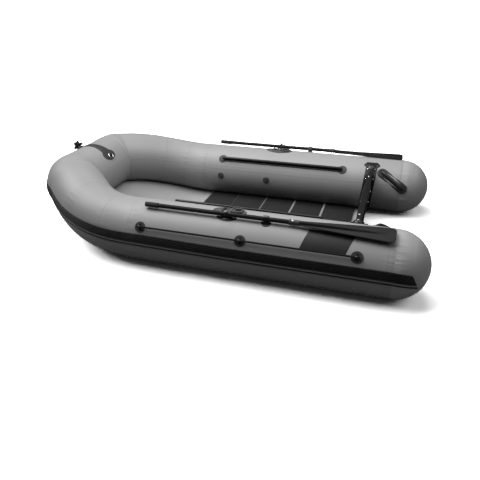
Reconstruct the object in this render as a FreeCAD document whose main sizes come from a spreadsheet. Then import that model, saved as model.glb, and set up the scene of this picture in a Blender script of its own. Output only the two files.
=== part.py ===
import FreeCAD, Part
import math
import os
import re
import Sketcher
from FreeCAD import Placement, Rotation, Vector

# Inflatable rowing dinghy with a slatted floor and a motor transom, in millimetres.
# +X points to the bow, +Y to port and +Z up. The origin is on the floor, under the
# middle of the boat, which stands on the undersides of its two side tubes.
# Stations are counted from the aft end of the tubes. Angles round a tube are counted
# from its outboard side, up over the crown: 0 is outboard, 90 the crown, 180 inboard.

SIZES = {
    "hull": {
        "overall_length": 2830,
        "half_spacing": 648,
        "tube_radius": 210,
        "skin_gap": 0.2,
        "overrun": 40,
    },
    "bow": {
        "bow_radius": 200,
        "gore_aft_length": 60,
        "gore_fore_length": 190,
        "entry_length": 343,
        "entry_heading": 5.2,
        "entry_rise": 2.8,
        "cheek_length": 276,
        "cheek_heading": 35,
        "cheek_rise": 15.8,
        "shoulder_length": 243,
        "shoulder_heading": 40,
        "shoulder_rise": 9.8,
        "cheek_bend_radius": 462,
        "shoulder_bend_radius": 1900,
        "nose_bend_radius": 210,
    },
    "rub strake": {
        "strake_top_angle": 16,
        "strake_band_angle": -3,
        "strake_lip_angle": -6,
        "strake_low_angle": -9.5,
        "strake_valley": 5,
        "strake_height": 9,
        "strake_groove": 1.7,
        "strake_tail_angle": 48,
        "strake_tail_station": 73,
        "strake_cut_slope": 24,
    },
    "bottom and floor": {
        "floor_clearance": 24,
        "bottom_thickness": 3,
        "bottom_tuck": 70,
        "ramp_start_gap": 14,
        "ramp_cheek_share": 0.93,
        "ramp_shoulder_share": 0.95,
        "ramp_nose_share": 0.8,
        "ramp_nose_back": 50,
        "panel_thickness": 15,
        "panel_side_gap": 2,
        "panel_aft_station": 543,
        "panel_fore_back": 100,
        "panel_gap": 9,
        "panel_edge": 3,
        "hinge_strip_drop": 4,
        "fit_gap": 0.3,
    },
    "transom": {
        "transom_station": 446,
        "transom_top": 378,
        "board_thickness": 30,
        "board_foot": 30,
        "board_edge": 4,
        "board_tuck": 105,
        "holder_flange_width": 88,
        "holder_cap_width": 122,
        "holder_cap_angle": 126,
        "holder_flange_thickness": 4,
        "holder_wall": 11,
        "holder_depth": 36,
        "holder_seat": 10,
        "holder_top_angle": 110,
        "holder_foot_angle": 228,
        "holder_slot_overrun": 30,
        "pad_width": 320,
        "pad_drop": 210,
        "pad_thickness": 11,
        "pad_corner": 24,
        "drain_radius": 12,
        "drain_wall": 3,
        "drain_flange_radius": 24,
        "drain_flange": 3,
        "drain_height": 70,
    },
    "seat rails": {
        "rail_aft_station": 669,
        "rail_fore_back": 198,
        "rail_angle": 136,
        "rail_base_width": 42,
        "rail_base_thickness": 3,
        "rail_neck_width": 7,
        "rail_bead_radius": 8,
        "rail_bead_height": 18,
        "rail_patch_radius": 31,
        "patch_thickness": 2.5,
    },
    "valves": {
        "valve_aft_station": 1283,
        "valve_fore_back": 195,
        "valve_angle": 176,
        "valve_flange_radius": 26,
        "valve_flange": 3,
        "valve_cap_radius": 19,
        "valve_cap_height": 9,
    },
    "grab handles": {
        "handle_station": 272,
        "handle_angle": 150,
        "handle_slant": 34,
        "handle_pad_length": 268,
        "handle_pad_width": 76,
        "handle_pad_thickness": 4,
        "handle_grip_length": 186,
        "handle_grip_radius": 9,
        "handle_grip_height": 33,
    },
    "lifelines": {
        "eye_aft_station": 412,
        "eye_middle_station": 1106,
        "eye_fore_back": 107,
        "eye_angle": 31,
        "eye_patch_radius": 33,
        "eye_patch_thickness": 4,
        "eye_boss_radius": 13,
        "eye_boss_length": 22,
        "eye_head_radius": 10,
        "rope_radius": 5,
        "rope_height": 15,
        "rope_clearance": 0.4,
        "rope_tail": 16,
    },
    "bow fittings": {
        "strap_width": 47,
        "strap_thickness": 3,
        "strap_fore_angle": -21,
        "strap_patch_angle": 53,
        "strap_patch_radius": 56,
        "ring_angle": 50,
        "ring_radius": 25,
        "ring_wire": 3.5,
        "ring_lift": 8,
        "ring_saddle_radius": 14,
        "ring_saddle_width": 30,
        "cleat_angle": -34,
        "cleat_base_radius": 33,
        "cleat_base_height": 14,
        "cleat_post_radius": 17,
        "cleat_post_height": 36,
        "cleat_horn_length": 62,
        "cleat_horn_radius": 9,
        "cleat_knob_radius": 12,
        "cleat_crown_radius": 16,
        "cleat_crown_height": 46,
    },
    "oarlocks": {
        "lock_station": 1225,
        "lock_angle": 71.5,
        "lock_base_angle": 85,
        "lock_base_length": 216,
        "lock_base_width": 92,
        "lock_base_thickness": 6,
        "lock_pad_radius": 36,
        "lock_lug_spacing": 84,
        "lock_lug_radius": 17,
        "lock_lug_height": 11.5,
        "lock_lug_wall": 5,
        "lock_turntable_radius": 27,
        "lock_turntable_height": 7,
        "pin_radius": 5,
        "pin_clearance": 0.6,
        "pin_bore_length": 160,
        "knob_radius": 17,
        "knob_height": 14,
        "oar_height": 25.5,
        "yoke_length": 66,
        "yoke_radius": 17,
        "yoke_post_radius": 15,
        "yoke_gap": 1.5,
        "clip_station": 973,
        "clip_length": 32,
        "clip_wall": 6,
        "clip_back": 9,
        "clip_lip": 10,
        "clip_gap": 1.5,
        "clip_patch_radius": 32,
        "clip_patch_offset": 6,
    },
    "oars": {
        "shaft_radius": 14,
        "oar_fore_length": 552,
        "oar_aft_length": 1004,
        "grip_length": 92,
        "grip_radius": 17,
        "ferrule_centre": 425,
        "ferrule_length": 66,
        "ferrule_radius": 18,
        "blade_root": 462,
        "blade_root_width": 40,
        "blade_width": 126,
        "blade_shoulder": 320,
        "blade_shoulder_width": 92,
        "blade_thickness": 7,
        "blade_corner": 26,
        "blade_roll_port": 2.5,
        "blade_roll_starboard": 18.5,
        "blade_rib_length": 470,
    },
}

doc = FreeCAD.newDocument("Dinghy")
sheet = doc.addObject("Spreadsheet::Sheet", "Sizes")
derived = doc.addObject("App::VarSet", "Derived")
derived.addProperty("App::PropertyFloat", "reading")
names = {}

row = 1
for group, cells in SIZES.items():
    sheet.set(f"A{row}", group)
    row += 1
    for alias, number in cells.items():
        sheet.set(f"A{row}", alias)
        sheet.set(f"B{row}", str(number))
        sheet.setAlias(f"B{row}", alias)
        names[alias] = "Sizes"
        row += 1
doc.recompute()


def full(expression):
    """Puts the sheet's or the derived set's name before each size in an expression."""
    return re.sub(
        r"[a-z_]+",
        lambda word: f"{names[word.group()]}.{word.group()}" if word.group() in names else word.group(),
        expression,
    )


def derive(name, expression):
    """Adds a length worked out from the sheet, under a name of its own."""
    derived.addProperty("App::PropertyFloat", name)
    derived.setExpression(name, full(expression))
    derived.recompute()
    names[name] = "Derived"


def size(name):
    """The present value of one named size."""
    if names[name] == "Sizes":
        return float(sheet.get(name))
    return float(getattr(derived, name))


def measure(expression):
    """The present value of an expression of the named sizes."""
    derived.setExpression("reading", full(expression))
    derived.recompute()
    return float(derived.reading)


derive("stern_x", "-overall_length / 2")
derive("cap_x", "stern_x + tube_radius")
derive("nose_x", "overall_length / 2 - strake_height - bow_radius")
BOW_SEGMENTS = ("entry", "cheek", "shoulder")
for segment in BOW_SEGMENTS:
    flat = f"{segment}_length * cos({segment}_rise)"
    derive(f"{segment}_run", f"{flat} * cos({segment}_heading)")
    derive(f"{segment}_inset", f"{flat} * sin({segment}_heading)")
    derive(f"{segment}_climb", f"{segment}_length * sin({segment}_rise)")
derive("knee_x", "nose_x - entry_run - cheek_run - shoulder_run")
derive("nose_half", "half_spacing - entry_inset - cheek_inset - shoulder_inset")
derive("nose_z", "tube_radius + entry_climb + cheek_climb + shoulder_climb")
derive("run_length", "knee_x - gore_aft_length - cap_x")
derive("knee_station", "knee_x - stern_x")
for fitting in ("panel", "rail", "valve", "eye"):
    derive(f"{fitting}_fore_station", f"knee_station - {fitting}_fore_back")
derive("floor_z", "floor_clearance + bottom_thickness")
derive("panel_top", "floor_z + fit_gap + panel_thickness")
derive("tube_half_width_there", "sqrt(tube_radius ^ 2 - (tube_radius - panel_top) ^ 2)")
derive("panel_half_width", "half_spacing - tube_half_width_there - panel_side_gap")

ALONG = Rotation(Vector(0, 1, 0), 90)
ASTERN = Rotation(Vector(0, 1, 0), -90)
SIDES = (("port", 1), ("starboard", -1))
parts = []


def bind(obj, **expressions):
    """Binds properties of an object to expressions of the named sizes."""
    for name, expression in expressions.items():
        obj.setExpression(name, full(expression))
    return obj


def primitive(kind, name, place=None, **expressions):
    """Makes one bound Part primitive at a placement."""
    obj = bind(doc.addObject("Part::" + kind, name), **expressions)
    if place is not None:
        obj.Placement = place
    return obj


def fuse(name, *pieces):
    """Joins pieces into one solid."""
    obj = doc.addObject("Part::MultiFuse", name)
    obj.Shapes = list(pieces)
    obj.Refine = True
    return obj


def cut(name, base, *tools):
    """Cuts each tool from the base in turn."""
    for number, tool in enumerate(tools):
        step = doc.addObject("Part::Cut", name if number == len(tools) - 1 else f"{name}_cut{number}")
        step.Base = base
        step.Tool = tool
        base = step
    return base


def common(name, first, second):
    """Keeps what two pieces share."""
    obj = doc.addObject("Part::MultiCommon", name)
    obj.Shapes = [first, second]
    return obj


def feature(name, shape):
    """Wraps a shape worked out here as an object of the document."""
    obj = doc.addObject("Part::Feature", name)
    obj.Shape = shape
    return obj


def node(obj, label):
    """Names a finished sub-part, which is written out under this name."""
    obj.Label = label
    parts.append(obj)
    return obj


def station(name):
    """The X of a station that is counted from the aft end of the tubes."""
    return size("stern_x") + size(name)


def radial(sign, angle):
    """The direction out of a side tube at an angle round it."""
    turn = math.radians(angle)
    return Vector(0, sign * math.cos(turn), math.sin(turn))


def seat(sign, x, angle, height=0.0):
    """A placement on a side tube: local Z out of the tube, local X towards the bow."""
    out = radial(sign, angle)
    base = Vector(x, sign * size("half_spacing"), size("tube_radius")) + out * (size("tube_radius") + height)
    return Placement(base, Rotation(Vector(1, 0, 0), out.cross(Vector(1, 0, 0)), out, "ZXY"))


def bow_seat(angle, height=0.0):
    """A placement on the nose at mid-boat: local Z out of it, angle 0 up, positive aft."""
    turn = math.radians(angle)
    out = Vector(-math.sin(turn), 0, math.cos(turn))
    base = Vector(size("nose_x"), 0, size("nose_z")) + out * (size("bow_radius") + height)
    return Placement(base, Rotation(Vector(0, 1, 0).cross(out), Vector(0, 1, 0), out, "ZXY"))


def local(place, x=0.0, y=0.0, z=0.0, rotation=None):
    """A placement inside another one."""
    return place.multiply(Placement(Vector(x, y, z), rotation or Rotation()))


# Side tubes, each a straight run with a domed end piece at the stern.
tubes = {}
for side, sign in SIDES:
    y = sign * size("half_spacing")
    z = size("tube_radius")
    run = primitive("Cylinder", f"run_{side}", Placement(Vector(size("cap_x"), y, z), ALONG),
                    Radius="tube_radius", Height="run_length")
    tubes[side] = node(run, f"tube_{side}")
    cap = primitive("Sphere", f"dome_{side}", Placement(Vector(size("cap_x"), y, z), ASTERN),
                    Radius="tube_radius", Angle1="0", Angle2="90")
    node(cap, f"tube_cap_{side}")


# Bow tube: a tapering gore at each knee, then one tube that is bent upwards and inwards
# by three segments a side, with a tight bend into a straight nose.
def bow_corners(sign):
    """One side's corners of the bow's path: knee, cheek, shoulder and nose."""
    corners = [Vector(size("knee_x"), sign * size("half_spacing"), size("tube_radius"))]
    for segment in BOW_SEGMENTS:
        step = Vector(size(f"{segment}_run"), -sign * size(f"{segment}_inset"), size(f"{segment}_climb"))
        corners.append(corners[-1] + step)
    return corners


def bent_path(corners, radii):
    """Straight runs between corners, joined by a tangent arc at each inner corner."""
    edges = []
    last = corners[0]
    for before, corner, after, radius in zip(corners, corners[1:], corners[2:], radii):
        arrive = (corner - before).normalize()
        leave = (after - corner).normalize()
        turn = arrive.getAngle(leave)
        reach = radius * math.tan(turn / 2)
        inward = (leave - arrive).normalize()
        top = corner + inward * (radius / math.cos(turn / 2) - radius)
        edges.append(Part.LineSegment(last, corner - arrive * reach).toShape())
        edges.append(Part.Arc(corner - arrive * reach, top, corner + leave * reach).toShape())
        last = corner + leave * reach
    edges.append(Part.LineSegment(last, corners[-1]).toShape())
    return Part.Wire(edges)


def gore_ends(sign):
    """Middle and direction of the two ends of a knee gore."""
    knee, cheek = bow_corners(sign)[:2]
    entry = (cheek - knee).normalize()
    aft = knee - Vector(size("gore_aft_length"), 0, 0)
    return (aft, Vector(1, 0, 0)), (knee + entry * size("gore_fore_length"), entry)


def ring_at(name, middle, along, radius):
    """A bound circle round a tube's path."""
    return primitive("Circle", name, Placement(middle, Rotation(Vector(0, 0, 1), along)), Radius=radius)


bend_radii = [size(f"{bend}_bend_radius") for bend in ("cheek", "shoulder", "nose")]
path_corners = [gore_ends(1)[1][0], *bow_corners(1)[1:], *reversed(bow_corners(-1)[1:]), gore_ends(-1)[1][0]]
bow_path = feature("bow_path", bent_path(path_corners, bend_radii + bend_radii[::-1]))
bow_pieces = []
for side, sign in SIDES:
    (aft_middle, aft_way), (fore_middle, fore_way) = gore_ends(sign)
    gore = doc.addObject("Part::Loft", f"knee_gore_{side}")
    gore.Sections = [ring_at(f"gore_aft_ring_{side}", aft_middle, aft_way, "tube_radius"),
                     ring_at(f"gore_fore_ring_{side}", fore_middle, fore_way, "bow_radius")]
    gore.Solid = True
    gore.Ruled = True
    bow_pieces.append(gore)
bow_bend = doc.addObject("Part::Sweep", "bow_bend")
bow_bend.Sections = [ring_at("bow_ring_section", *gore_ends(1)[1], "bow_radius")]
bow_bend.Spine = (bow_path, [f"Edge{number + 1}" for number in range(len(bow_path.Shape.Edges))])
bow_bend.Solid = True
bow_pieces.append(bow_bend)
tube_bow = node(fuse("tube_bow_fuse", *bow_pieces), "tube_bow")
doc.recompute()


# Rub strake: one ridged profile carried round the outside of the tubes. Each pair of
# shares is one flank of a ridge or of a valley, down the width of the main band.
RIDGE_SHARES = (0.06, 0.14, 0.2, 0.28, 0.4, 0.48, 0.6, 0.68, 0.8, 0.88, 0.94, 1.0)


def strake_face(centre, outward, upward, radius):
    """The strake's section on a tube of this radius, as a face."""
    inner = radius + size("skin_gap")
    valley = inner + size("strake_valley")
    crest = inner + size("strake_height") - size("skin_gap")
    top = size("strake_top_angle")
    band = size("strake_band_angle")
    lip = size("strake_lip_angle")
    low = size("strake_low_angle")
    groove = inner + size("strake_groove")
    contour = [(inner, top), (valley, top)]
    for number, share in enumerate(RIDGE_SHARES):
        contour.append((crest if number % 4 in (0, 1) else valley, top + (band - top) * share))
    contour += [(groove, band), (groove, lip)]
    contour += [(valley, lip), (valley, low), (inner, low)]

    def point(reach, angle):
        turn = math.radians(angle)
        return centre + outward * (reach * math.cos(turn)) + upward * (reach * math.sin(turn))

    corners = [point(reach, angle) for reach, angle in contour]
    edges = [Part.LineSegment(a, b).toShape() for a, b in zip(corners, corners[1:])]
    edges.append(Part.Arc(corners[-1], point(inner, (top + low) / 2), corners[0]).toShape())
    return Part.Face(Part.Wire(edges))


def strake_side(sign):
    """Tail round the domed end and straight run of one side's strake."""
    y = sign * size("half_spacing")
    z = size("tube_radius")
    aft = strake_face(Vector(size("cap_x"), y, z), Vector(0, sign, 0), Vector(0, 0, 1), size("tube_radius"))
    tail = aft.revolve(Vector(size("cap_x"), y, z), Vector(0, 0, sign), size("strake_tail_angle"))
    run = aft.extrude(Vector(size("run_length"), 0, 0))
    whole = run.fuse(tail)
    # The tail is cut on a slant, and its lower edge reaches further aft.
    block = size("tube_radius")
    slant = Part.makeBox(block, 2 * block, 2 * block, Vector(-block, -block, -block))
    slant.Placement = Placement(Vector(station("strake_tail_station"), y + sign * block, z),
                                Rotation(Vector(0, 1, 0), size("strake_cut_slope")))
    return whole.cut(slant)


def strake_bow():
    """The strake along both knee gores and round the bow's path."""
    pieces = []
    for side, sign in SIDES:
        faces = []
        for (middle, way), radius in zip(gore_ends(sign), ("tube_radius", "bow_radius")):
            outward = Vector(-sign * way.y, sign * way.x, 0).normalize()
            up = way.cross(outward) * sign
            faces.append(strake_face(middle, outward, up, size(radius)))
        pieces.append(Part.makeLoft([face.OuterWire for face in faces], True, True))
        if sign > 0:
            bend = bow_path.Shape.makePipeShell([faces[1].OuterWire], True, False)
    pieces.append(bend)
    return pieces[0].multiFuse(pieces[1:])


for side, sign in SIDES:
    node(feature(f"strake_{side}", strake_side(sign)), f"rub_strake_{side}")
node(feature("strake_bow", strake_bow()), "rub_strake_bow")


# Bottom: coated fabric between the tubes, flat under the floor, then a ramp to the nose.
def bottom_shape():
    """A thin sheet from the transom to the nose, trimmed by the tubes."""
    thick = size("bottom_thickness")
    low = size("floor_clearance")
    radius = size("bow_radius")
    knee, cheek, shoulder, nose = bow_corners(1)
    under = [
        (station("transom_station") - size("board_thickness"), low),
        (station("panel_fore_station") + size("ramp_start_gap"), low),
        (cheek.x, cheek.z - radius * size("ramp_cheek_share")),
        (shoulder.x, shoulder.z - radius * size("ramp_shoulder_share")),
        (nose.x - size("ramp_nose_back"), nose.z - radius * size("ramp_nose_share")),
    ]
    over = [(x, z + thick) for x, z in reversed(under)]
    corners = [Vector(x, 0, z) for x, z in under + over]
    face = Part.Face(Part.makePolygon(corners + corners[:1]))
    half = size("half_spacing") - size("bottom_tuck")
    face.translate(Vector(0, -half, 0))
    sheet_shape = face.extrude(Vector(0, 2 * half, 0))
    trimmed = sheet_shape.cut([tubes["port"].Shape, tubes["starboard"].Shape, tube_bow.Shape])
    return max(trimmed.Solids, key=lambda solid: solid.Volume)


node(feature("bottom", bottom_shape()), "bottom_skin")


# Slatted floor: five stiff panels with fabric hinge strips in the gaps between them.
PANELS = 5
derive("panel_pitch", f"(panel_fore_station - panel_aft_station + panel_gap) / {PANELS}")
for number in range(PANELS):
    x = station("panel_aft_station") + number * size("panel_pitch")
    corner = Vector(x, -size("panel_half_width"), size("floor_z") + size("fit_gap"))
    slat = primitive("Box", f"slat_{number}", Placement(corner, Rotation()),
                     Length="panel_pitch - panel_gap", Width="2 * panel_half_width", Height="panel_thickness")
    doc.recompute()
    edged = doc.addObject("Part::Chamfer", f"panel_{number}")
    edged.Base = slat
    top_z = slat.Shape.BoundBox.ZMax
    edges = [i + 1 for i, edge in enumerate(slat.Shape.Edges)
             if abs(edge.BoundBox.ZMin - top_z) < size("skin_gap")]
    edged.Edges = [(i, size("panel_edge"), size("panel_edge")) for i in edges]
    node(edged, f"floor_panel_{number + 1}")

strips = []
for number in range(1, PANELS):
    x = station("panel_aft_station") + number * size("panel_pitch") - size("panel_gap") + size("fit_gap")
    corner = Vector(x, -size("panel_half_width"), size("floor_z") + size("fit_gap"))
    strips.append(primitive("Box", f"strip_{number}", Placement(corner, Rotation()),
                            Length="panel_gap - 2 * fit_gap", Width="2 * panel_half_width",
                            Height="panel_thickness - hinge_strip_drop"))
strip_set = doc.addObject("Part::Compound", "strip_set")
strip_set.Links = strips
node(strip_set, "floor_hinge_strips")


# Transom: a board held in a moulded channel on each tube, with pads for a motor clamp.
def sketch_loop(body, role, points, name):
    """A closed sketch of straight edges whose corners are bound to expressions."""
    sketch = body.newObject("Sketcher::SketchObject", name)
    plane = [item for item in body.Origin.OriginFeatures if item.Role == role][0]
    sketch.AttachmentSupport = [(plane, "")]
    sketch.MapMode = "FlatFace"
    count = len(points)
    spots = [Vector(measure(across), measure(up), 0) for across, up in points]
    for number in range(count):
        sketch.addGeometry(Part.LineSegment(spots[number], spots[(number + 1) % count]))
    for number in range(count):
        sketch.addConstraint(Sketcher.Constraint("Coincident", number, 2, (number + 1) % count, 1))
    for number, (across, up) in enumerate(points):
        spot_x, spot_y = spots[number].x, spots[number].y
        for kind, expression, spot in (("DistanceX", across, spot_x), ("DistanceY", up, spot_y)):
            index = sketch.addConstraint(Sketcher.Constraint(kind, -1, 1, number, 1, spot))
            sketch.setExpression(f"Constraints[{index}]", full(expression))
    return sketch


def plate(name, role, points, thickness, place):
    """A flat plate: a sketch on a plane of its own body, padded on both sides of it."""
    body = doc.addObject("PartDesign::Body", name)
    sketch = sketch_loop(body, role, points, f"{name}_outline")
    pad = body.newObject("PartDesign::Pad", f"{name}_pad")
    pad.Profile = sketch
    pad.Midplane = True
    bind(pad, Length=thickness)
    body.Tip = pad
    body.Placement = place
    return body


def rounded(name, body, chosen, radius):
    """Rounds the edges of a body's last feature that a test picks out."""
    doc.recompute()
    base = body.Tip
    edges = [f"Edge{i + 1}" for i, edge in enumerate(base.Shape.Edges) if chosen(edge)]
    fillet = body.newObject("PartDesign::Fillet", name)
    fillet.Base = (base, edges)
    bind(fillet, Radius=radius)
    body.Tip = fillet
    return body


def ring_piece(name, sign, inner, outer, x, length, low_angle, high_angle):
    """A stretch of a tube's wrapping, between two angles round the inboard side."""
    y = sign * size("half_spacing")
    place = Placement(Vector(x, y, size("tube_radius")), ALONG)
    sector = primitive("Cylinder", f"{name}_sector", place, Radius=outer, Height=length)
    core = primitive("Cylinder", f"{name}_core", place, Radius=inner, Height=length)
    sweep = high_angle - low_angle
    sector.Angle = sweep
    # The sector starts at its lower end and turns towards the crown.
    start = radial(sign, low_angle if sign > 0 else high_angle)
    turn = Rotation(start, Vector(1, 0, 0).cross(start), Vector(1, 0, 0), "ZXY")
    sector.Placement = Placement(place.Base, turn)
    return cut(name, sector, core)


BOARD_X = station("transom_station")
derive("board_half_width", "half_spacing - board_tuck")
board = plate("board", "YZ_Plane",
              [("-board_half_width", "board_foot"), ("board_half_width", "board_foot"),
               ("board_half_width", "transom_top"), ("-board_half_width", "transom_top")],
              "board_thickness", Placement(Vector(BOARD_X, 0, 0), Rotation()))
rounded("board_edges", board,
        lambda edge: edge.BoundBox.YLength > size("half_spacing")
        and edge.BoundBox.ZMin > size("board_foot") + size("board_edge"),
        "board_edge")

board_seats = []
for side, sign in SIDES:
    start = Vector(BOARD_X - size("holder_flange_width"), sign * size("half_spacing"), size("tube_radius"))
    board_seats.append(primitive("Cylinder", f"board_seat_{side}", Placement(start, ALONG),
                                 Radius="tube_radius + skin_gap + holder_seat + fit_gap",
                                 Height="2 * holder_flange_width"))
drain_bore = primitive("Cylinder", "drain_bore",
                       Placement(Vector(BOARD_X - size("board_thickness"), 0, size("drain_height")), ALONG),
                       Radius="drain_radius + fit_gap", Height="2 * board_thickness")
transom = node(cut("transom", board, *board_seats, drain_bore), "transom_board")

for side, sign in SIDES:
    flange = ring_piece(f"flange_{side}", sign, "tube_radius + skin_gap",
                        "tube_radius + skin_gap + holder_flange_thickness",
                        BOARD_X - size("holder_flange_width") / 2, "holder_flange_width",
                        size("holder_top_angle"), size("holder_foot_angle"))
    cap = ring_piece(f"holder_cap_{side}", sign, "tube_radius + skin_gap",
                     "tube_radius + skin_gap + holder_flange_thickness",
                     BOARD_X - size("holder_cap_width") / 2, "holder_cap_width",
                     size("holder_top_angle"), size("holder_cap_angle"))
    derive(f"holder_width_{side}", "board_thickness + 2 * fit_gap + 2 * holder_wall")
    channel = ring_piece(f"channel_{side}", sign, "tube_radius + skin_gap",
                         "tube_radius + skin_gap + holder_depth",
                         BOARD_X - size(f"holder_width_{side}") / 2, f"holder_width_{side}",
                         size("holder_top_angle"), size("holder_foot_angle"))
    slot = ring_piece(f"slot_{side}", sign, "tube_radius + skin_gap + holder_seat",
                      "tube_radius + skin_gap + holder_depth + overrun",
                      BOARD_X - size("board_thickness") / 2 - size("fit_gap"),
                      "board_thickness + 2 * fit_gap",
                      size("holder_top_angle") - size("holder_slot_overrun"),
                      size("holder_foot_angle") + size("holder_slot_overrun"))
    foot = primitive("Box", f"holder_floor_{side}",
                     Placement(Vector(BOARD_X - size("holder_flange_width"), -size("half_spacing"),
                                      -size("overrun")), Rotation()),
                     Length="2 * holder_flange_width", Width="2 * half_spacing",
                     Height="overrun + floor_z + fit_gap")
    node(cut(f"holder_{side}", fuse(f"holder_body_{side}", flange, cap, channel), slot, foot),
         f"transom_holder_{side}")

pad_points = [("-pad_width / 2", "transom_top - pad_drop"), ("pad_width / 2", "transom_top - pad_drop"),
              ("pad_width / 2", "transom_top"), ("-pad_width / 2", "transom_top")]
for name, way in (("motor_pad_inner", 1), ("motor_pad_outer", -1)):
    x = BOARD_X + way * (size("board_thickness") + size("pad_thickness")) / 2
    pad_place = Placement(Vector(x, 0, 0), Rotation())
    pad = plate(f"{name}_body", "YZ_Plane", pad_points, "pad_thickness", pad_place)
    rounded(f"{name}_corners", pad,
            lambda edge: edge.BoundBox.XLength > size("pad_thickness") / 2
            and edge.BoundBox.ZMax < size("transom_top") - size("pad_drop") / 2, "pad_corner")
    node(pad, name)

drain_place = Placement(Vector(BOARD_X - size("board_thickness") / 2 - size("drain_flange"),
                               0, size("drain_height")), ALONG)
derive("drain_length", "board_thickness + 2 * drain_flange")
drain_tube = primitive("Cylinder", "drain_tube", drain_place, Radius="drain_radius", Height="drain_length")
drain_flange_aft = primitive("Cylinder", "drain_flange_aft", drain_place,
                             Radius="drain_flange_radius", Height="drain_flange")
drain_fore = Vector(BOARD_X + size("board_thickness") / 2, 0, size("drain_height"))
drain_flange_fore = primitive("Cylinder", "drain_flange_fore", Placement(drain_fore, ALONG),
                              Radius="drain_flange_radius", Height="drain_flange")
drain_hole = primitive("Cylinder", "drain_hole", drain_place, Radius="drain_radius - drain_wall",
                       Height="drain_length")
node(cut("drain", fuse("drain_body", drain_tube, drain_flange_aft, drain_flange_fore), drain_hole),
     "transom_drain")


# Pads that are glued to a side tube follow its curve: an upright prism, kept where it
# lies in a thin wrapping round the tube.
wraps = {}


def wrapped(name, sign, prism, thickness):
    """The part of a prism that lies within a wrapping of this thickness on the tube."""
    key = (sign, thickness)
    if key not in wraps:
        place = Placement(Vector(size("stern_x"), sign * size("half_spacing"), size("tube_radius")), ALONG)
        label = f"{thickness}_{'port' if sign > 0 else 'starboard'}"
        outer = primitive("Cylinder", f"wrap_outer_{label}", place,
                          Radius=f"tube_radius + skin_gap + {thickness}", Height="overall_length")
        inner = primitive("Cylinder", f"wrap_inner_{label}", place,
                          Radius="tube_radius + skin_gap", Height="overall_length")
        wraps[key] = cut(f"wrap_{label}", outer, inner)
    return common(name, wraps[key], prism)


def round_prism(name, place, radius):
    """A round prism through a tube's skin."""
    return primitive("Cylinder", name, local(place, z=-size("overrun")), Radius=radius, Height="2 * overrun")


def long_prism(name, place, length, width):
    """A prism with half-round ends through a tube's skin, long in its local X."""
    reach = measure(f"({length} - {width}) / 2")
    block = primitive("Box", f"{name}_block",
                      local(place, -reach, -measure(f"{width} / 2"), -size("overrun")),
                      Length=f"{length} - {width}", Width=width, Height="2 * overrun")
    ends = [primitive("Cylinder", f"{name}_end{number}", local(place, x=way * reach, z=-size("overrun")),
                      Radius=f"{width} / 2", Height="2 * overrun") for number, way in enumerate((-1, 1))]
    return fuse(name, block, *ends)


def oval_prism(name, place, length, width):
    """An oval prism through a tube's skin, long in its local X."""
    outline = primitive("Ellipse", f"{name}_outline", local(place, z=-size("overrun")),
                        MajorRadius=f"{length} / 2", MinorRadius=f"{width} / 2")
    prism = bind(doc.addObject("Part::Extrusion", name), LengthFwd="2 * overrun")
    prism.Base = outline
    prism.DirMode = "Normal"
    prism.Solid = True
    return prism


# Seat rails: a flat foot, a neck and a round bead along each tube, on round end patches.
for side, sign in SIDES:
    aft_x = station("rail_aft_station")
    place = seat(sign, aft_x, size("rail_angle"), size("skin_gap") + size("patch_thickness"))
    derive(f"rail_length_{side}", "rail_fore_station - rail_aft_station")
    foot = primitive("Box", f"rail_foot_{side}", local(place, y=-size("rail_base_width") / 2),
                     Length=f"rail_length_{side}", Width="rail_base_width", Height="rail_base_thickness")
    neck = primitive("Box", f"rail_neck_{side}", local(place, y=-size("rail_neck_width") / 2),
                     Length=f"rail_length_{side}", Width="rail_neck_width", Height="rail_bead_height")
    bead = primitive("Cylinder", f"rail_bead_{side}",
                     local(place, z=size("rail_bead_height"), rotation=ALONG),
                     Radius="rail_bead_radius", Height=f"rail_length_{side}")
    node(fuse(f"rail_{side}", foot, neck, bead), f"seat_rail_{side}")
    patches = []
    for end in ("aft", "fore"):
        spot = seat(sign, station(f"rail_{end}_station"), size("rail_angle"))
        prism = round_prism(f"rail_patch_prism_{end}_{side}", spot, "rail_patch_radius")
        patches.append(wrapped(f"rail_patch_{end}_{side}", sign, prism, "patch_thickness"))
    patch_set = doc.addObject("Part::Compound", f"rail_patches_{side}")
    patch_set.Links = patches
    node(patch_set, f"seat_rail_patches_{side}")

# Air valves on the inboard side, each a round flange with a domed cap.
for side, sign in SIDES:
    valves = []
    for end in ("aft", "fore"):
        spot = seat(sign, station(f"valve_{end}_station"), size("valve_angle"), size("skin_gap"))
        ring = primitive("Cylinder", f"valve_ring_{end}_{side}", spot,
                         Radius="valve_flange_radius", Height="valve_flange + patch_thickness")
        dome = primitive("Cone", f"valve_dome_{end}_{side}", spot, Radius1="valve_cap_radius",
                         Radius2="valve_cap_radius - patch_thickness", Height="valve_cap_height")
        valves.append(fuse(f"valve_{end}_{side}", ring, dome))
    valve_set = doc.addObject("Part::Compound", f"valves_{side}")
    valve_set.Links = valves
    node(valve_set, f"air_valves_{side}")

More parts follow.
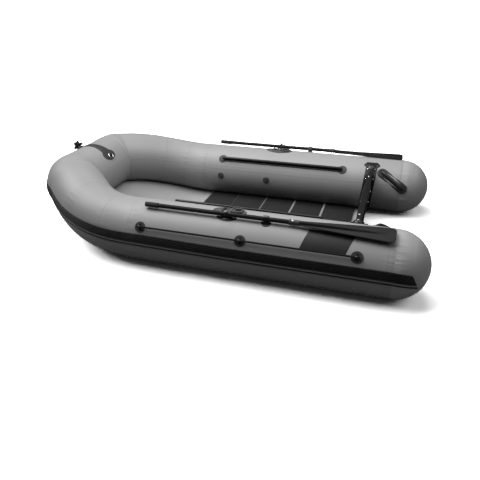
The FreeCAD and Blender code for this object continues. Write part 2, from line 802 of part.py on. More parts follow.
# Grab handles: a slanting pad with rounded ends, and a grip bar on two feet.
for side, sign in SIDES:
    spot = seat(sign, station("handle_station"), size("handle_angle"))
    spot = local(spot, rotation=Rotation(Vector(0, 0, 1), sign * size("handle_slant")))
    pad = wrapped(f"handle_pad_{side}", sign,
                  long_prism(f"handle_prism_{side}", spot, "handle_pad_length", "handle_pad_width"),
                  "handle_pad_thickness")
    reach = size("handle_grip_length") / 2
    bar = primitive("Cylinder", f"handle_bar_{side}",
                    local(spot, x=-reach, z=size("handle_grip_height"), rotation=ALONG),
                    Radius="handle_grip_radius", Height="handle_grip_length")
    feet = []
    for number, way in enumerate((-1, 1)):
        feet.append(primitive("Cylinder", f"handle_foot_{number}_{side}", local(spot, x=way * reach),
                              Radius="handle_grip_radius", Height="handle_grip_height"))
        feet.append(primitive("Sphere", f"handle_knuckle_{number}_{side}",
                              local(spot, x=way * reach, z=size("handle_grip_height")),
                              Radius="handle_grip_radius"))
    start = Vector(size("stern_x"), sign * size("half_spacing"), size("tube_radius"))
    inside = primitive("Cylinder", f"handle_tube_{side}", Placement(start, ALONG),
                       Radius="tube_radius + skin_gap", Height="overall_length")
    node(cut(f"handle_{side}", fuse(f"handle_body_{side}", pad, bar, *feet), inside), f"grab_handle_{side}")

# Lifelines: one taut rope a side through the eyes of three round patches.
for side, sign in SIDES:
    eyes = []
    for end in ("aft", "middle", "fore"):
        spot = seat(sign, station(f"eye_{end}_station"), size("eye_angle"))
        patch = wrapped(f"eye_patch_{end}_{side}", sign,
                        round_prism(f"eye_prism_{end}_{side}", spot, "eye_patch_radius"),
                        "eye_patch_thickness")
        post = primitive("Box", f"eye_post_{end}_{side}",
                         local(spot, -size("eye_boss_length") / 2, -size("eye_boss_radius") / 2,
                               size("skin_gap")),
                         Length="eye_boss_length", Width="eye_boss_radius", Height="rope_height")
        head = primitive("Cylinder", f"eye_head_{end}_{side}",
                         local(spot, x=-size("eye_boss_length") / 2, z=size("rope_height"), rotation=ALONG),
                         Radius="eye_head_radius", Height="eye_boss_length")
        bore = primitive("Cylinder", f"eye_bore_{end}_{side}",
                         local(spot, x=-size("overrun"), z=size("rope_height"), rotation=ALONG),
                         Radius="rope_radius + rope_clearance", Height="2 * overrun")
        eyes.append(cut(f"eye_{end}_{side}", fuse(f"eye_body_{end}_{side}", patch, post, head), bore))
    eye_set = doc.addObject("Part::Compound", f"eyes_{side}")
    eye_set.Links = eyes
    node(eye_set, f"lifeline_eyes_{side}")
    start = seat(sign, station("eye_aft_station") - size("rope_tail"), size("eye_angle"), size("rope_height"))
    node(primitive("Cylinder", f"rope_{side}", local(start, rotation=ALONG), Radius="rope_radius",
                   Height="eye_fore_station - eye_aft_station + 2 * rope_tail"), f"lifeline_{side}")

# Bow strap over the nose, ending in a round patch that carries the towing ring.
nose_axis = Placement(Vector(size("nose_x"), 0, size("nose_z")), Rotation(Vector(1, 0, 0), -90))


def nose_wrap(name, half_width, thickness):
    """A wrapping round the whole nose at mid-boat."""
    start = local(nose_axis, z=-measure(half_width))
    outer = primitive("Cylinder", f"{name}_outer", start, Radius=f"bow_radius + skin_gap + {thickness}",
                      Height=f"2 * ({half_width})")
    inner = primitive("Cylinder", f"{name}_inner", start, Radius="bow_radius + skin_gap",
                      Height=f"2 * ({half_width})")
    return cut(name, outer, inner)


strap_band = nose_wrap("strap_band", "strap_width / 2", "strap_thickness")
strap_side = primitive("Cylinder", "strap_sector", local(nose_axis, z=-size("strap_width")),
                       Radius="bow_radius + overrun", Height="2 * strap_width",
                       Angle="strap_patch_angle - strap_fore_angle")
strap_start = Vector(-math.sin(math.radians(size("strap_fore_angle"))), 0,
                     math.cos(math.radians(size("strap_fore_angle"))))
strap_side.Placement = Placement(nose_axis.Base + Vector(0, size("strap_width"), 0),
                                 Rotation(strap_start, Vector(0, -1, 0).cross(strap_start),
                                          Vector(0, -1, 0), "ZXY"))
patch_place = bow_seat(size("strap_patch_angle"))
patch_prism = round_prism("strap_patch_prism", patch_place, "strap_patch_radius")
patch_wrap = nose_wrap("patch_wrap", "strap_patch_radius", "strap_thickness")
strap_patch = common("strap_patch", patch_wrap, patch_prism)
node(fuse("strap", common("strap_run", strap_band, strap_side), strap_patch), "bow_strap")

ring_place = bow_seat(size("ring_angle"), size("skin_gap") + size("strap_thickness"))
saddle_spot = local(ring_place, y=size("ring_saddle_width") / 2, rotation=Rotation(Vector(1, 0, 0), 90))
saddle = primitive("Cylinder", "ring_saddle", saddle_spot, Radius="ring_saddle_radius",
                   Height="ring_saddle_width")
saddle_foot = primitive("Box", "ring_saddle_foot",
                        local(ring_place, -size("overrun"), -size("overrun"), -2 * size("overrun")),
                        Length="2 * overrun", Width="2 * overrun", Height="2 * overrun")
wire = primitive("Torus", "ring_wire_loop", local(ring_place, x=-size("ring_radius"), z=size("ring_lift")),
                 Radius1="ring_radius", Radius2="ring_wire")
node(fuse("ring", cut("ring_saddle_top", saddle, saddle_foot), wire), "bow_ring")

cleat_place = bow_seat(size("cleat_angle"), size("skin_gap"))
cleat_base = primitive("Cone", "cleat_base", cleat_place, Radius1="cleat_base_radius",
                       Radius2="cleat_post_radius", Height="cleat_base_height")
cleat_post = primitive("Cylinder", "cleat_post", cleat_place, Radius="cleat_post_radius",
                       Height="cleat_crown_height")
cleat_crown = primitive("Sphere", "cleat_crown", local(cleat_place, z=size("cleat_crown_height")),
                        Radius="cleat_crown_radius")
cleat_horn = primitive("Cylinder", "cleat_horn",
                       local(cleat_place, y=size("cleat_horn_length") / 2, z=size("cleat_post_height"),
                             rotation=Rotation(Vector(1, 0, 0), 90)),
                       Radius="cleat_horn_radius", Height="cleat_horn_length")
cleat_knobs = []
for number, way in enumerate((-1, 1)):
    knob_spot = local(cleat_place, y=way * size("cleat_horn_length") / 2, z=size("cleat_post_height"))
    cleat_knobs.append(primitive("Sphere", f"cleat_knob_{number}", knob_spot, Radius="cleat_knob_radius"))
node(fuse("cleat", cleat_base, cleat_post, cleat_crown, cleat_horn, *cleat_knobs), "bow_cleat")

# Oarlocks: a moulded oval base, a pin with a knob, and a yoke that turns on the pin
# with the oar in it. A clip further aft holds the shaft when the oar is stowed.
FORE_WAY = Rotation(Vector(0, 1, 0), 90)
for side, sign in SIDES:
    lock = seat(sign, station("lock_station"), size("lock_angle"))
    base_spot = seat(sign, station("lock_station"), size("lock_base_angle"))
    foot = wrapped(f"lock_foot_{side}", sign,
                   oval_prism(f"lock_prism_{side}", base_spot, "lock_base_length", "lock_base_width"),
                   "lock_base_thickness")
    pin_pad = wrapped(f"lock_pin_pad_{side}", sign,
                      round_prism(f"lock_pad_prism_{side}", lock, "lock_pad_radius"), "lock_base_thickness")
    lugs = []
    for end, along in (("aft", -1), ("fore", 1)):
        lug_spot = local(base_spot, x=along * size("lock_lug_spacing") / 2, z=size("skin_gap"))
        lug = primitive("Cylinder", f"lock_lug_{end}_{side}", lug_spot, Radius="lock_lug_radius",
                        Height="lock_lug_height")
        well = primitive("Cylinder", f"lock_well_{end}_{side}",
                         local(lug_spot, z=size("lock_base_thickness")),
                         Radius="lock_lug_radius - lock_lug_wall", Height="lock_lug_height")
        lugs.append(cut(f"lock_lug_cup_{end}_{side}", lug, well))
    table = primitive("Cylinder", f"lock_table_{side}", local(lock, z=size("skin_gap")),
                      Radius="lock_turntable_radius", Height="lock_turntable_height - skin_gap")
    post_top = measure("oar_height + yoke_radius + yoke_gap")
    pin = primitive("Cylinder", f"lock_pin_{side}", local(lock, z=size("skin_gap")),
                    Radius="pin_radius", Height="oar_height + yoke_radius + yoke_gap + knob_height / 2")
    knob = primitive("Cylinder", f"lock_knob_{side}", local(lock, z=post_top),
                     Radius="knob_radius", Height="knob_height")
    node(fuse(f"lock_{side}", foot, pin_pad, table, pin, knob, *lugs), f"oarlock_base_{side}")

    # Oar parts lie along the tube, the grip towards the bow.
    axle = local(lock, z=size("oar_height"))
    bore = primitive("Cylinder", f"pin_bore_{side}", local(lock, z=-size("overrun")),
                     Radius="pin_radius + pin_clearance", Height="pin_bore_length")
    derive(f"shaft_length_{side}", "oar_fore_length + oar_aft_length - grip_length / 2 - blade_corner")
    shaft = primitive("Cylinder", f"shaft_rod_{side}",
                      local(axle, x=-measure("oar_aft_length - blade_corner"), rotation=FORE_WAY),
                      Radius="shaft_radius", Height=f"shaft_length_{side}")
    collar = primitive("Cylinder", f"ferrule_{side}",
                       local(axle, x=-measure("ferrule_centre + ferrule_length / 2"), rotation=FORE_WAY),
                       Radius="ferrule_radius", Height="ferrule_length")
    blade_zone = primitive("Box", f"blade_zone_{side}",
                           local(axle, -measure("oar_aft_length + overrun"), -size("blade_width"),
                                 -size("blade_width")),
                           Length="oar_aft_length + overrun - blade_root", Width="2 * blade_width",
                           Height="2 * blade_width")
    rod = fuse(f"shaft_body_{side}", shaft, collar)
    node(cut(f"shaft_{side}", rod, bore, blade_zone), f"oar_shaft_{side}")

    yoke_bar = primitive("Cylinder", f"yoke_bar_{side}",
                         local(axle, x=-size("yoke_length") / 2, rotation=FORE_WAY),
                         Radius="yoke_radius", Height="yoke_length")
    yoke_post = primitive("Cylinder", f"yoke_post_{side}",
                          local(lock, z=measure("lock_turntable_height + yoke_gap")),
                          Radius="yoke_post_radius",
                          Height="oar_height + yoke_radius - lock_turntable_height - yoke_gap")
    yoke_room = primitive("Cylinder", f"yoke_room_{side}",
                          local(axle, x=-size("yoke_length"), rotation=FORE_WAY),
                          Radius="shaft_radius + skin_gap", Height="2 * yoke_length")
    yoke_bore = primitive("Cylinder", f"yoke_bore_{side}", local(lock, z=-size("overrun")),
                          Radius="pin_radius + pin_clearance", Height="pin_bore_length")
    node(cut(f"yoke_{side}", fuse(f"yoke_body_{side}", yoke_bar, yoke_post), yoke_room, yoke_bore),
         f"oarlock_yoke_{side}")

    grip_x = measure("oar_fore_length - grip_length")
    grip = primitive("Cylinder", f"grip_bar_{side}", local(axle, x=grip_x, rotation=FORE_WAY),
                     Radius="grip_radius", Height="grip_length")
    grip_bore = primitive("Cylinder", f"grip_bore_{side}",
                          local(axle, x=grip_x - size("overrun"), rotation=FORE_WAY),
                          Radius="shaft_radius + skin_gap", Height="overrun + grip_length / 2 + fit_gap")
    node(cut(f"grip_{side}", grip, grip_bore), f"oar_grip_{side}")

    # The blade: a flat tapering plate on the shaft's line, with a rib along its middle.
    roll = sign * size(f"blade_roll_{side}")
    blade_place = local(axle, rotation=Rotation(Vector(1, 0, 0), roll))
    root = "-blade_root"
    shoulder = "-(blade_root + blade_shoulder)"
    tip = "-oar_aft_length"
    blade = plate(f"blade_plate_{side}", "XY_Plane",
                  [(root, "-blade_root_width / 2"), (root, "blade_root_width / 2"),
                   (shoulder, "blade_shoulder_width / 2"), (tip, "blade_width / 2"),
                   (tip, "-blade_width / 2"), (shoulder, "-blade_shoulder_width / 2")],
                  "blade_thickness", blade_place)
    rounded(f"blade_corners_{side}", blade,
            lambda edge: edge.BoundBox.ZLength > size("blade_thickness") / 2
            and edge.BoundBox.XMax < size("blade_corner") - size("oar_aft_length"), "blade_corner")
    rib = primitive("Cylinder", f"blade_rib_{side}",
                    local(axle, x=-measure("blade_root + blade_rib_length"), rotation=FORE_WAY),
                    Radius="shaft_radius", Height="blade_rib_length")
    rib_end = primitive("Sphere", f"blade_rib_end_{side}",
                        local(axle, x=-measure("blade_root + blade_rib_length")), Radius="shaft_radius")
    node(fuse(f"blade_{side}", blade, rib, rib_end), f"oar_blade_{side}")

    # The clip opens outboard, in the plane that the oar swings in.
    clip_spot = seat(sign, station("clip_station"), size("lock_angle"))
    clip_axle = local(clip_spot, z=size("oar_height"))
    way = -sign
    slot_radius = measure("shaft_radius + clip_gap")
    back = measure("shaft_radius + clip_gap + clip_back")
    depth = measure("shaft_radius + clip_gap + clip_back + clip_lip")
    low_y = -back if way < 0 else -size("clip_lip")
    jaw = primitive("Box", f"clip_jaw_{side}",
                    local(clip_spot, -size("clip_length") / 2, low_y, size("skin_gap")),
                    Length="clip_length", Width="shaft_radius + clip_gap + clip_back + clip_lip",
                    Height="oar_height + shaft_radius + clip_gap + clip_wall - skin_gap")
    mouth_y = 0 if way < 0 else -depth
    mouth = primitive("Box", f"clip_mouth_{side}",
                      local(clip_axle, -size("clip_length"), mouth_y, -slot_radius),
                      Length="2 * clip_length", Width="shaft_radius + clip_gap + clip_back + clip_lip",
                      Height="2 * (shaft_radius + clip_gap)")
    throat = primitive("Cylinder", f"clip_throat_{side}",
                       local(clip_axle, x=-size("clip_length"), rotation=FORE_WAY),
                       Radius="shaft_radius + clip_gap", Height="2 * clip_length")
    patch_spot = local(clip_spot, y=-way * size("clip_patch_offset"))
    clip_patch = wrapped(f"clip_patch_{side}", sign,
                         round_prism(f"clip_prism_{side}", patch_spot, "clip_patch_radius"),
                         "patch_thickness")
    node(fuse(f"clip_{side}", cut(f"clip_hook_{side}", jaw, mouth, throat), clip_patch), f"oar_clip_{side}")

doc.recompute()
for obj in doc.Objects:
    if "Invalid" in obj.State or "Error" in obj.State:
        raise RuntimeError(f"{obj.Name} ({obj.Label}) failed: {obj.State}")
for obj in parts:
    shape = obj.Shape
    if shape.isNull() or not shape.isValid() or not shape.Solids:
        raise RuntimeError(f"{obj.Label} has no valid solid")

os.makedirs("parts", exist_ok=True)
for obj in parts:
    obj.Shape.exportStep(f"parts/{obj.Label}.step")
    print(f"{obj.Label}: {len(obj.Shape.Solids)} solid(s), {obj.Shape.Volume / 1e3:.1f} cm3")
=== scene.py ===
"""An inflatable dinghy with its oars stowed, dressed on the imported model, in metres."""

import math

import bmesh
import bpy
import numpy as np
from mathutils import Matrix, Vector


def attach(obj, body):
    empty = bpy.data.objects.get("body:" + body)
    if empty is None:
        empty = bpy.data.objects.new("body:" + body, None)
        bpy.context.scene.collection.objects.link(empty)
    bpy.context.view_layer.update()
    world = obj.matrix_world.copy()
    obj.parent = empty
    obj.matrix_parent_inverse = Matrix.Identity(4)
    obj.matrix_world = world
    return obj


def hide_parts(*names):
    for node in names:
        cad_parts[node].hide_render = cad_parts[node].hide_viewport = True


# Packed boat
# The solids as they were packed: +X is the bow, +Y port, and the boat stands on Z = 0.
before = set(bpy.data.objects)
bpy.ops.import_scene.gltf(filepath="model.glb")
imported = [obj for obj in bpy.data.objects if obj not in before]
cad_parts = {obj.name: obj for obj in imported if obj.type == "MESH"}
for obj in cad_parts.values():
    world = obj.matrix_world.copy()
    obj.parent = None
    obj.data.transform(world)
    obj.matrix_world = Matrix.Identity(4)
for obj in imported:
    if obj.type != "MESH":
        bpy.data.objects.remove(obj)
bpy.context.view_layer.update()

# Camera
# It stands off the port quarter and looks forward and down across the boat, with a very
# slight roll.
CAMERA_PLACE, CAMERA_AIM = Vector((-1.1122, 3.2787, 1.6856)), Vector((-0.0408, 0.0, -0.1346))
CAMERA_ROLL = math.radians(-0.686)
camera_data = bpy.data.cameras.new("camera")
camera_data.lens = 36.54
camera_data.sensor_width = 36.0
camera = bpy.data.objects.new("camera", camera_data)
camera.location = CAMERA_PLACE
look = (CAMERA_AIM - CAMERA_PLACE).to_track_quat("-Z", "Y").to_matrix()
camera.rotation_euler = (look @ Matrix.Rotation(CAMERA_ROLL, 3, "Z")).to_euler()
bpy.context.collection.objects.link(camera)
bpy.context.scene.camera = camera

# Studio
# A wide pale floor under a soft box over the cockpit, with soft light from ahead and astern.
# The floor and the air are white to the camera's own rays, and dimmer for all other light.
FLOOR_HALF = 400.0
FLOOR_TONE, FLOOR_TONE_SEEN = 0.16, 2.0
AIR_STRENGTH, AIR_STRENGTH_SEEN = 0.03, 1.0
BOX_LENGTH, BOX_WIDTH, BOX_HEIGHT, BOX_POWER = 3.0, 1.9, 2.2, 64


def for_rays(tree, socket, others, seen):
    """Feeds a socket one number for the camera's own rays and another for all other light."""
    choice = tree.nodes.new("ShaderNodeMapRange")
    choice.inputs["To Min"].default_value = others
    choice.inputs["To Max"].default_value = seen
    rays = tree.nodes.new("ShaderNodeLightPath").outputs["Is Camera Ray"]
    tree.links.new(rays, choice.inputs["Value"])
    tree.links.new(choice.outputs["Result"], socket)


def soft_light(name, way, spread, strength):
    """A far lamp that shines from this way, as wide in the sky as the spread in degrees."""
    data = bpy.data.lights.new(name, "SUN")
    data.energy = strength
    data.angle = math.radians(spread)
    lamp = bpy.data.objects.new(name, data)
    lamp.rotation_euler = Vector(way).to_track_quat("Z", "Y").to_euler()
    bpy.context.collection.objects.link(lamp)


bpy.context.scene.view_settings.view_transform = "Standard"
pale = bpy.data.materials.new("studio_pale")
pale.use_nodes = True
pale_shader = pale.node_tree.nodes["Principled BSDF"]
pale_shader.inputs["Roughness"].default_value = 0.9
pale_shader.inputs["Specular IOR Level"].default_value = 0.0
for_rays(pale.node_tree, pale_shader.inputs["Base Color"], FLOOR_TONE, FLOOR_TONE_SEEN)
floor_mesh = bpy.data.meshes.new("studio_floor")
floor_corners = [(x * FLOOR_HALF, y * FLOOR_HALF, 0) for x, y in ((-1, -1), (1, -1), (1, 1), (-1, 1))]
floor_mesh.from_pydata(floor_corners, [], [(0, 1, 2, 3)])
studio_floor = bpy.data.objects.new("studio_floor", floor_mesh)
studio_floor.data.materials.append(pale)
bpy.context.collection.objects.link(studio_floor)
soft_light("bow_sheet", (1.0, 0.0, 1.2), 45, 3.3)
soft_light("stern_sheet", (-1.0, 0.0, 1.2), 45, 0.8)
box_data = bpy.data.lights.new("cockpit_box", "AREA")
box_data.shape = "RECTANGLE"
box_data.size = BOX_LENGTH
box_data.size_y = BOX_WIDTH
box_data.energy = BOX_POWER
cockpit_box = bpy.data.objects.new("cockpit_box", box_data)
cockpit_box.location = (0, 0, BOX_HEIGHT)
bpy.context.collection.objects.link(cockpit_box)
world = bpy.data.worlds.new("studio_air")
world.use_nodes = True
air = world.node_tree.nodes["Background"]
air.inputs["Color"].default_value = (1, 1, 1, 1)
for_rays(world.node_tree, air.inputs["Strength"], AIR_STRENGTH, AIR_STRENGTH_SEEN)
bpy.context.scene.world = world

# Air chambers
# Two side tubes and a raised bow tube of grey coated fabric, welded from panels with
# taped seams, with a domed cone at each stern end. The bow is made up of short gores.
SIDES = (("port", 1), ("starboard", -1))
# Stations are counted from the stern, and angles round a tube from its outboard side up.
STERN_X, HALF_SPACING = -1.415, 0.648
TUBE_RADIUS, BOW_RADIUS = 0.210, 0.205
CAP_X = STERN_X + TUBE_RADIUS
KNEE_X, CHEEK_LENGTH, NOSE_BEND = 0.4399, 0.7875, 0.207
CHEEK_HEADING, CHEEK_RISE = (-25.99, 225.80, -160.63), (24.85, 27.22, -50.26)
LINE_STEP, BEND_STEPS = 0.0075, 28
GORE_AFT, GORE_FORE = 0.040, 0.210
CORNER_PROUD, CORNER_HALF, CORNER_ANGLE = 0.012, 0.150, 58


def unit(vector):
    """A vector, or each row of an array of them, divided by its length."""
    return vector / np.linalg.norm(vector, axis=-1, keepdims=True)


def carried(start, heading, rise, length):
    """Points reached from a start by equal steps: the running sum of each step's heading and rise."""
    level = np.cos(rise)
    ways = np.stack([level * np.cos(heading), -level * np.sin(heading), np.sin(rise)], axis=-1)
    return start + np.cumsum(ways * length / len(ways), axis=0)


def square_to(ways, first):
    """A direction square to each way: the one before it, less its share along the new way."""
    kept = np.empty_like(ways)
    for number, way in enumerate(ways):
        first = unit(first - (first @ way) * way)
        kept[number] = first
    return kept


# The middle line of the chambers: straight to the knee, round a cheek whose heading and rise
# in degrees are cubics of the share of it gone by, round a short arc, and straight athwart.
aft_count, cheek_count = (round(length / LINE_STEP) for length in (KNEE_X - CAP_X, CHEEK_LENGTH))
still = np.zeros(aft_count)
stern_middle = np.array([[CAP_X, HALF_SPACING, TUBE_RADIUS]])
aft_line = np.concatenate([stern_middle, carried(stern_middle[0], still, still, KNEE_X - CAP_X)])
gone = (np.arange(cheek_count) + 0.5) / cheek_count
powers = np.stack([gone, gone ** 2, gone ** 3], axis=-1)
cheek_line = carried(aft_line[-1], np.radians(powers @ CHEEK_HEADING), np.radians(powers @ CHEEK_RISE),
                     CHEEK_LENGTH)
last_heading, last_rise = math.radians(sum(CHEEK_HEADING)), math.radians(sum(CHEEK_RISE))
bend = math.pi / 2 - last_heading
turned = (np.arange(BEND_STEPS) + 0.5) / BEND_STEPS
bend_line = carried(cheek_line[-1], last_heading + bend * turned, last_rise * (1 - turned),
                    NOSE_BEND * bend)
nose_count = round(bend_line[-1, 1] / LINE_STEP)
nose_line = carried(bend_line[-1], np.full(nose_count, math.pi / 2), np.zeros(nose_count),
                    bend_line[-1, 1])
half_line = np.concatenate([aft_line, cheek_line, bend_line, nose_line])
NOSE_X, _, NOSE_Z = map(float, half_line[-1])
line = np.concatenate([half_line, half_line[-2::-1] * (1, -1, 1)])
distance = np.concatenate([[0], np.cumsum(np.linalg.norm(np.diff(line, axis=0), axis=1))])
heading_way = unit(np.gradient(line, axis=0))
outward = square_to(heading_way, np.array([0.0, 1.0, 0.0]))
upward = np.cross(heading_way, outward)
chamber_radius = np.interp(line[:, 0], [KNEE_X - GORE_AFT, KNEE_X + GORE_FORE],
                           [TUBE_RADIUS, BOW_RADIUS])


def round_tube(rows, angles, heights):
    """Points round the chambers: the line's point plus radius and height times the angle's way out."""
    turn = np.radians(np.broadcast_to(angles, (len(rows), np.shape(angles)[-1])))[..., None]
    reach = chamber_radius[rows, None] + np.broadcast_to(heights, turn.shape[:2])
    out = np.cos(turn) * outward[rows, None, :] + np.sin(turn) * upward[rows, None, :]
    return line[rows, None, :] + reach[..., None] * out


def surface(grid, wrap=False):
    """Points and quads of a grid of rows along and columns across, joined round if wrap is set."""
    rows, cols = grid.shape[:2]
    start = np.arange(rows - 1)[:, None] * cols
    here = np.arange(cols if wrap else cols - 1)
    after = (here + 1) % cols
    quads = np.stack([start + here, start + after, start + cols + after, start + cols + here], axis=-1)
    return grid.reshape(-1, 3), quads.reshape(-1, 4).tolist()


def lay_loops(along, across):
    """The lay coordinates of a grid's loops, from each row's and each column's distance."""
    both = np.stack(np.meshgrid(along, across, indexing="ij"), axis=-1)
    return np.stack([both[:-1, :-1], both[:-1, 1:], both[1:, 1:], both[1:, :-1]], axis=2)


def piece(name, shapes, material, body="hull", stands_for=(), crease=35, uv=None, turn_out=True):
    """One object of one or more shapes, each points and faces, that rides on a body."""
    starts = np.cumsum([0] + [len(points) for points, _ in shapes]).tolist()
    faces = [[index + start for index in face]
             for start, (_, shape_faces) in zip(starts, shapes) for face in shape_faces]
    mesh = bpy.data.meshes.new(name)
    mesh.from_pydata(np.concatenate([points for points, _ in shapes]).tolist(), [], faces)
    if uv is not None:
        mesh.uv_layers.new(name="lay").data.foreach_set("uv", np.asarray(uv, dtype=np.float32).ravel())
    if turn_out:
        soup = bmesh.new()
        soup.from_mesh(mesh)
        bmesh.ops.recalc_face_normals(soup, faces=soup.faces)
        soup.to_mesh(mesh)
        soup.free()
    mesh.shade_smooth()
    mesh.set_sharp_from_angle(angle=math.radians(crease))
    obj = bpy.data.objects.new(name, mesh)
    obj.data.materials.append(material)
    bpy.context.collection.objects.link(obj)
    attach(obj, body)
    if stands_for:
        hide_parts(*stands_for)


def noise(tree, place, length):
    """Smooth noise whose features are about this long."""
    node = tree.nodes.new("ShaderNodeTexNoise")
    node.inputs["Scale"].default_value = 1 / length
    node.inputs["Detail"].default_value = 3.0
    tree.links.new(place, node.inputs["Vector"])
    return node.outputs["Fac"]


def ranged(tree, value, low, high, to_low, to_high):
    """A value moved smoothly from one range to another."""
    node = tree.nodes.new("ShaderNodeMapRange")
    node.interpolation_type = "SMOOTHSTEP"
    for socket, number in zip(node.inputs[1:5], (low, high, to_low, to_high)):
        socket.default_value = number
    tree.links.new(value, node.inputs["Value"])
    return node.outputs["Result"]


def combine(tree, operation, first, second):
    """Two sockets, or a socket and a number, through one arithmetic step."""
    node = tree.nodes.new("ShaderNodeMath")
    node.operation = operation
    tree.links.new(first, node.inputs[0])
    if isinstance(second, (int, float)):
        node.inputs[1].default_value = second
    else:
        tree.links.new(second, node.inputs[1])
    return node.outputs[0]


def bands(tree, value, centres, half, soft):
    """1 within half of any centre and 0 beyond soft more than that: the largest of the bands."""
    total = None
    for centre in centres:
        away = combine(tree, "ABSOLUTE", combine(tree, "SUBTRACT", value, centre), 0)
        near = ranged(tree, away, half, half + soft, 1, 0)
        total = near if total is None else combine(tree, "MAXIMUM", total, near)
    return total


def wrinkles(tree, place, length, value, centres, half, soft):
    """Noise of this length times the bands of a coordinate that it is kept to."""
    return combine(tree, "MULTIPLY", noise(tree, place, length), bands(tree, value, centres, half, soft))


def finish(name, tone, roughness, grain=(0.002, 0.1), mottle=(0.15, 0.04), metallic=0.0, gloss=0.25):
    """A procedural material: grain is its relief's size and strength, mottle its tone's."""
    material = bpy.data.materials.new(name)
    material.use_nodes = True
    tree = material.node_tree
    shader = tree.nodes["Principled BSDF"]
    shader.inputs["Roughness"].default_value = roughness
    shader.inputs["Metallic"].default_value = metallic
    shader.inputs["Specular IOR Level"].default_value = gloss
    place = tree.nodes.new("ShaderNodeTexCoord").outputs["Object"]
    level = ranged(tree, noise(tree, place, mottle[0]), 0.3, 0.7, 1 - mottle[1], 1 + mottle[1])
    tint = tree.nodes.new("ShaderNodeVectorMath")
    tint.name = "tint"
    tint.operation = "SCALE"
    tint.inputs[0].default_value = (tone, tone, tone)
    tree.links.new(level, tint.inputs["Scale"])
    tree.links.new(tint.outputs[0], shader.inputs["Base Color"])
    bump = tree.nodes.new("ShaderNodeBump")
    bump.inputs["Strength"].default_value = grain[1]
    bump.inputs["Distance"].default_value = grain[0]
    tree.links.new(noise(tree, place, grain[0]), bump.inputs["Height"])
    tree.links.new(bump.outputs["Normal"], shader.inputs["Normal"])
    return material


def relief(tree, height, depth):
    """Adds a relief of this depth over what the material's normal already has."""
    shader = tree.nodes["Principled BSDF"]
    bump = tree.nodes.new("ShaderNodeBump")
    bump.inputs["Strength"].default_value = 1.0
    bump.inputs["Distance"].default_value = depth
    tree.links.new(shader.inputs["Normal"].links[0].from_socket, bump.inputs["Normal"])
    tree.links.new(height, bump.inputs["Height"])
    tree.links.new(bump.outputs["Normal"], shader.inputs["Normal"])


def darken(tree, mask, share):
    """Scales the material's tone down to this share where the mask is 1."""
    tint = tree.nodes["tint"]
    before = tint.inputs["Scale"].links[0].from_socket
    darker = combine(tree, "MULTIPLY", before, ranged(tree, mask, 0, 1, 1, share))
    tree.links.new(darker, tint.inputs["Scale"])


def lay(tree, along=1.0, across=1.0):
    """The piece's own lay coordinates, in metres: both axes, and them stretched as a vector."""
    node = tree.nodes.new("ShaderNodeUVMap")
    node.uv_map = "lay"
    apart = tree.nodes.new("ShaderNodeSeparateXYZ")
    tree.links.new(node.outputs["UV"], apart.inputs[0])
    stretch = tree.nodes.new("ShaderNodeVectorMath")
    stretch.operation = "MULTIPLY"
    stretch.inputs[1].default_value = (along, across, 1)
    tree.links.new(node.outputs["UV"], stretch.inputs[0])
    return apart.outputs["X"], apart.outputs["Y"], stretch.outputs[0]


# The fabric: raised tape over each seam with painted shade along its edge, puckers beside the cross seams,
# and tucks on the crown under the oarlock at LOCK_STATION.
LOCK_STATION, TUCK_ANGLE = 1.225, 58
STERN_SEAM, BOW_SEAMS, LONG_SEAMS = 0.025, (0.0, 0.20, 0.46, 0.90), (157.5, -82)
CROSS_TAPE, LONG_TAPE, TAPE_SOFT, TAPE_HEIGHT = 0.013, 0.011, 0.002, 0.0007
EDGE_SHADE, PUCKER_DEPTH, TUCK_DEPTH = 0.72, 0.003, 0.0022
tube_fabric = finish("tube_fabric", 0.23, 0.42, grain=(0.0012, 0.05), mottle=(0.5, 0.03))
tree = tube_fabric.node_tree
along, around, pucker_lay = lay(tree, across=9.0)
total_length, aft_length = float(distance[-1]), float(distance[aft_count])
half_seams = [STERN_SEAM] + [aft_length + spot for spot in BOW_SEAMS]
cross_seams = half_seams + [total_length - spot for spot in half_seams]
long_seams = [math.radians(angle) * TUBE_RADIUS for angle in LONG_SEAMS]
tape = combine(tree, "MAXIMUM", bands(tree, along, cross_seams, CROSS_TAPE, TAPE_SOFT),
               bands(tree, around, long_seams, LONG_TAPE, TAPE_SOFT))
relief(tree, tape, TAPE_HEIGHT)
# A thin line just beyond each tape's edge is darkened: painted shade of the tape's step.
cross_edge_shade = bands(tree, along, [spot + CROSS_TAPE + 0.0015 for spot in cross_seams], 0.0008, 0.0012)
long_edge_shade = bands(tree, around, [spot - LONG_TAPE - 0.001 for spot in long_seams], 0.0012, 0.002)
darken(tree, combine(tree, "MAXIMUM", cross_edge_shade, long_edge_shade), EDGE_SHADE)
relief(tree, wrinkles(tree, pucker_lay, 0.22, along, cross_seams, 0.01, 0.06), PUCKER_DEPTH)
lock_spots = [LOCK_STATION - TUBE_RADIUS, total_length - LOCK_STATION + TUBE_RADIUS]
_, _, tuck_lay = lay(tree, along=9.0)
tucks = wrinkles(tree, tuck_lay, 0.16, along, lock_spots, 0.02, 0.05)
tuck_band = bands(tree, around, [math.radians(TUCK_ANGLE) * TUBE_RADIUS], 0.015, 0.05)
relief(tree, combine(tree, "MULTIPLY", tucks, tuck_band), TUCK_DEPTH)

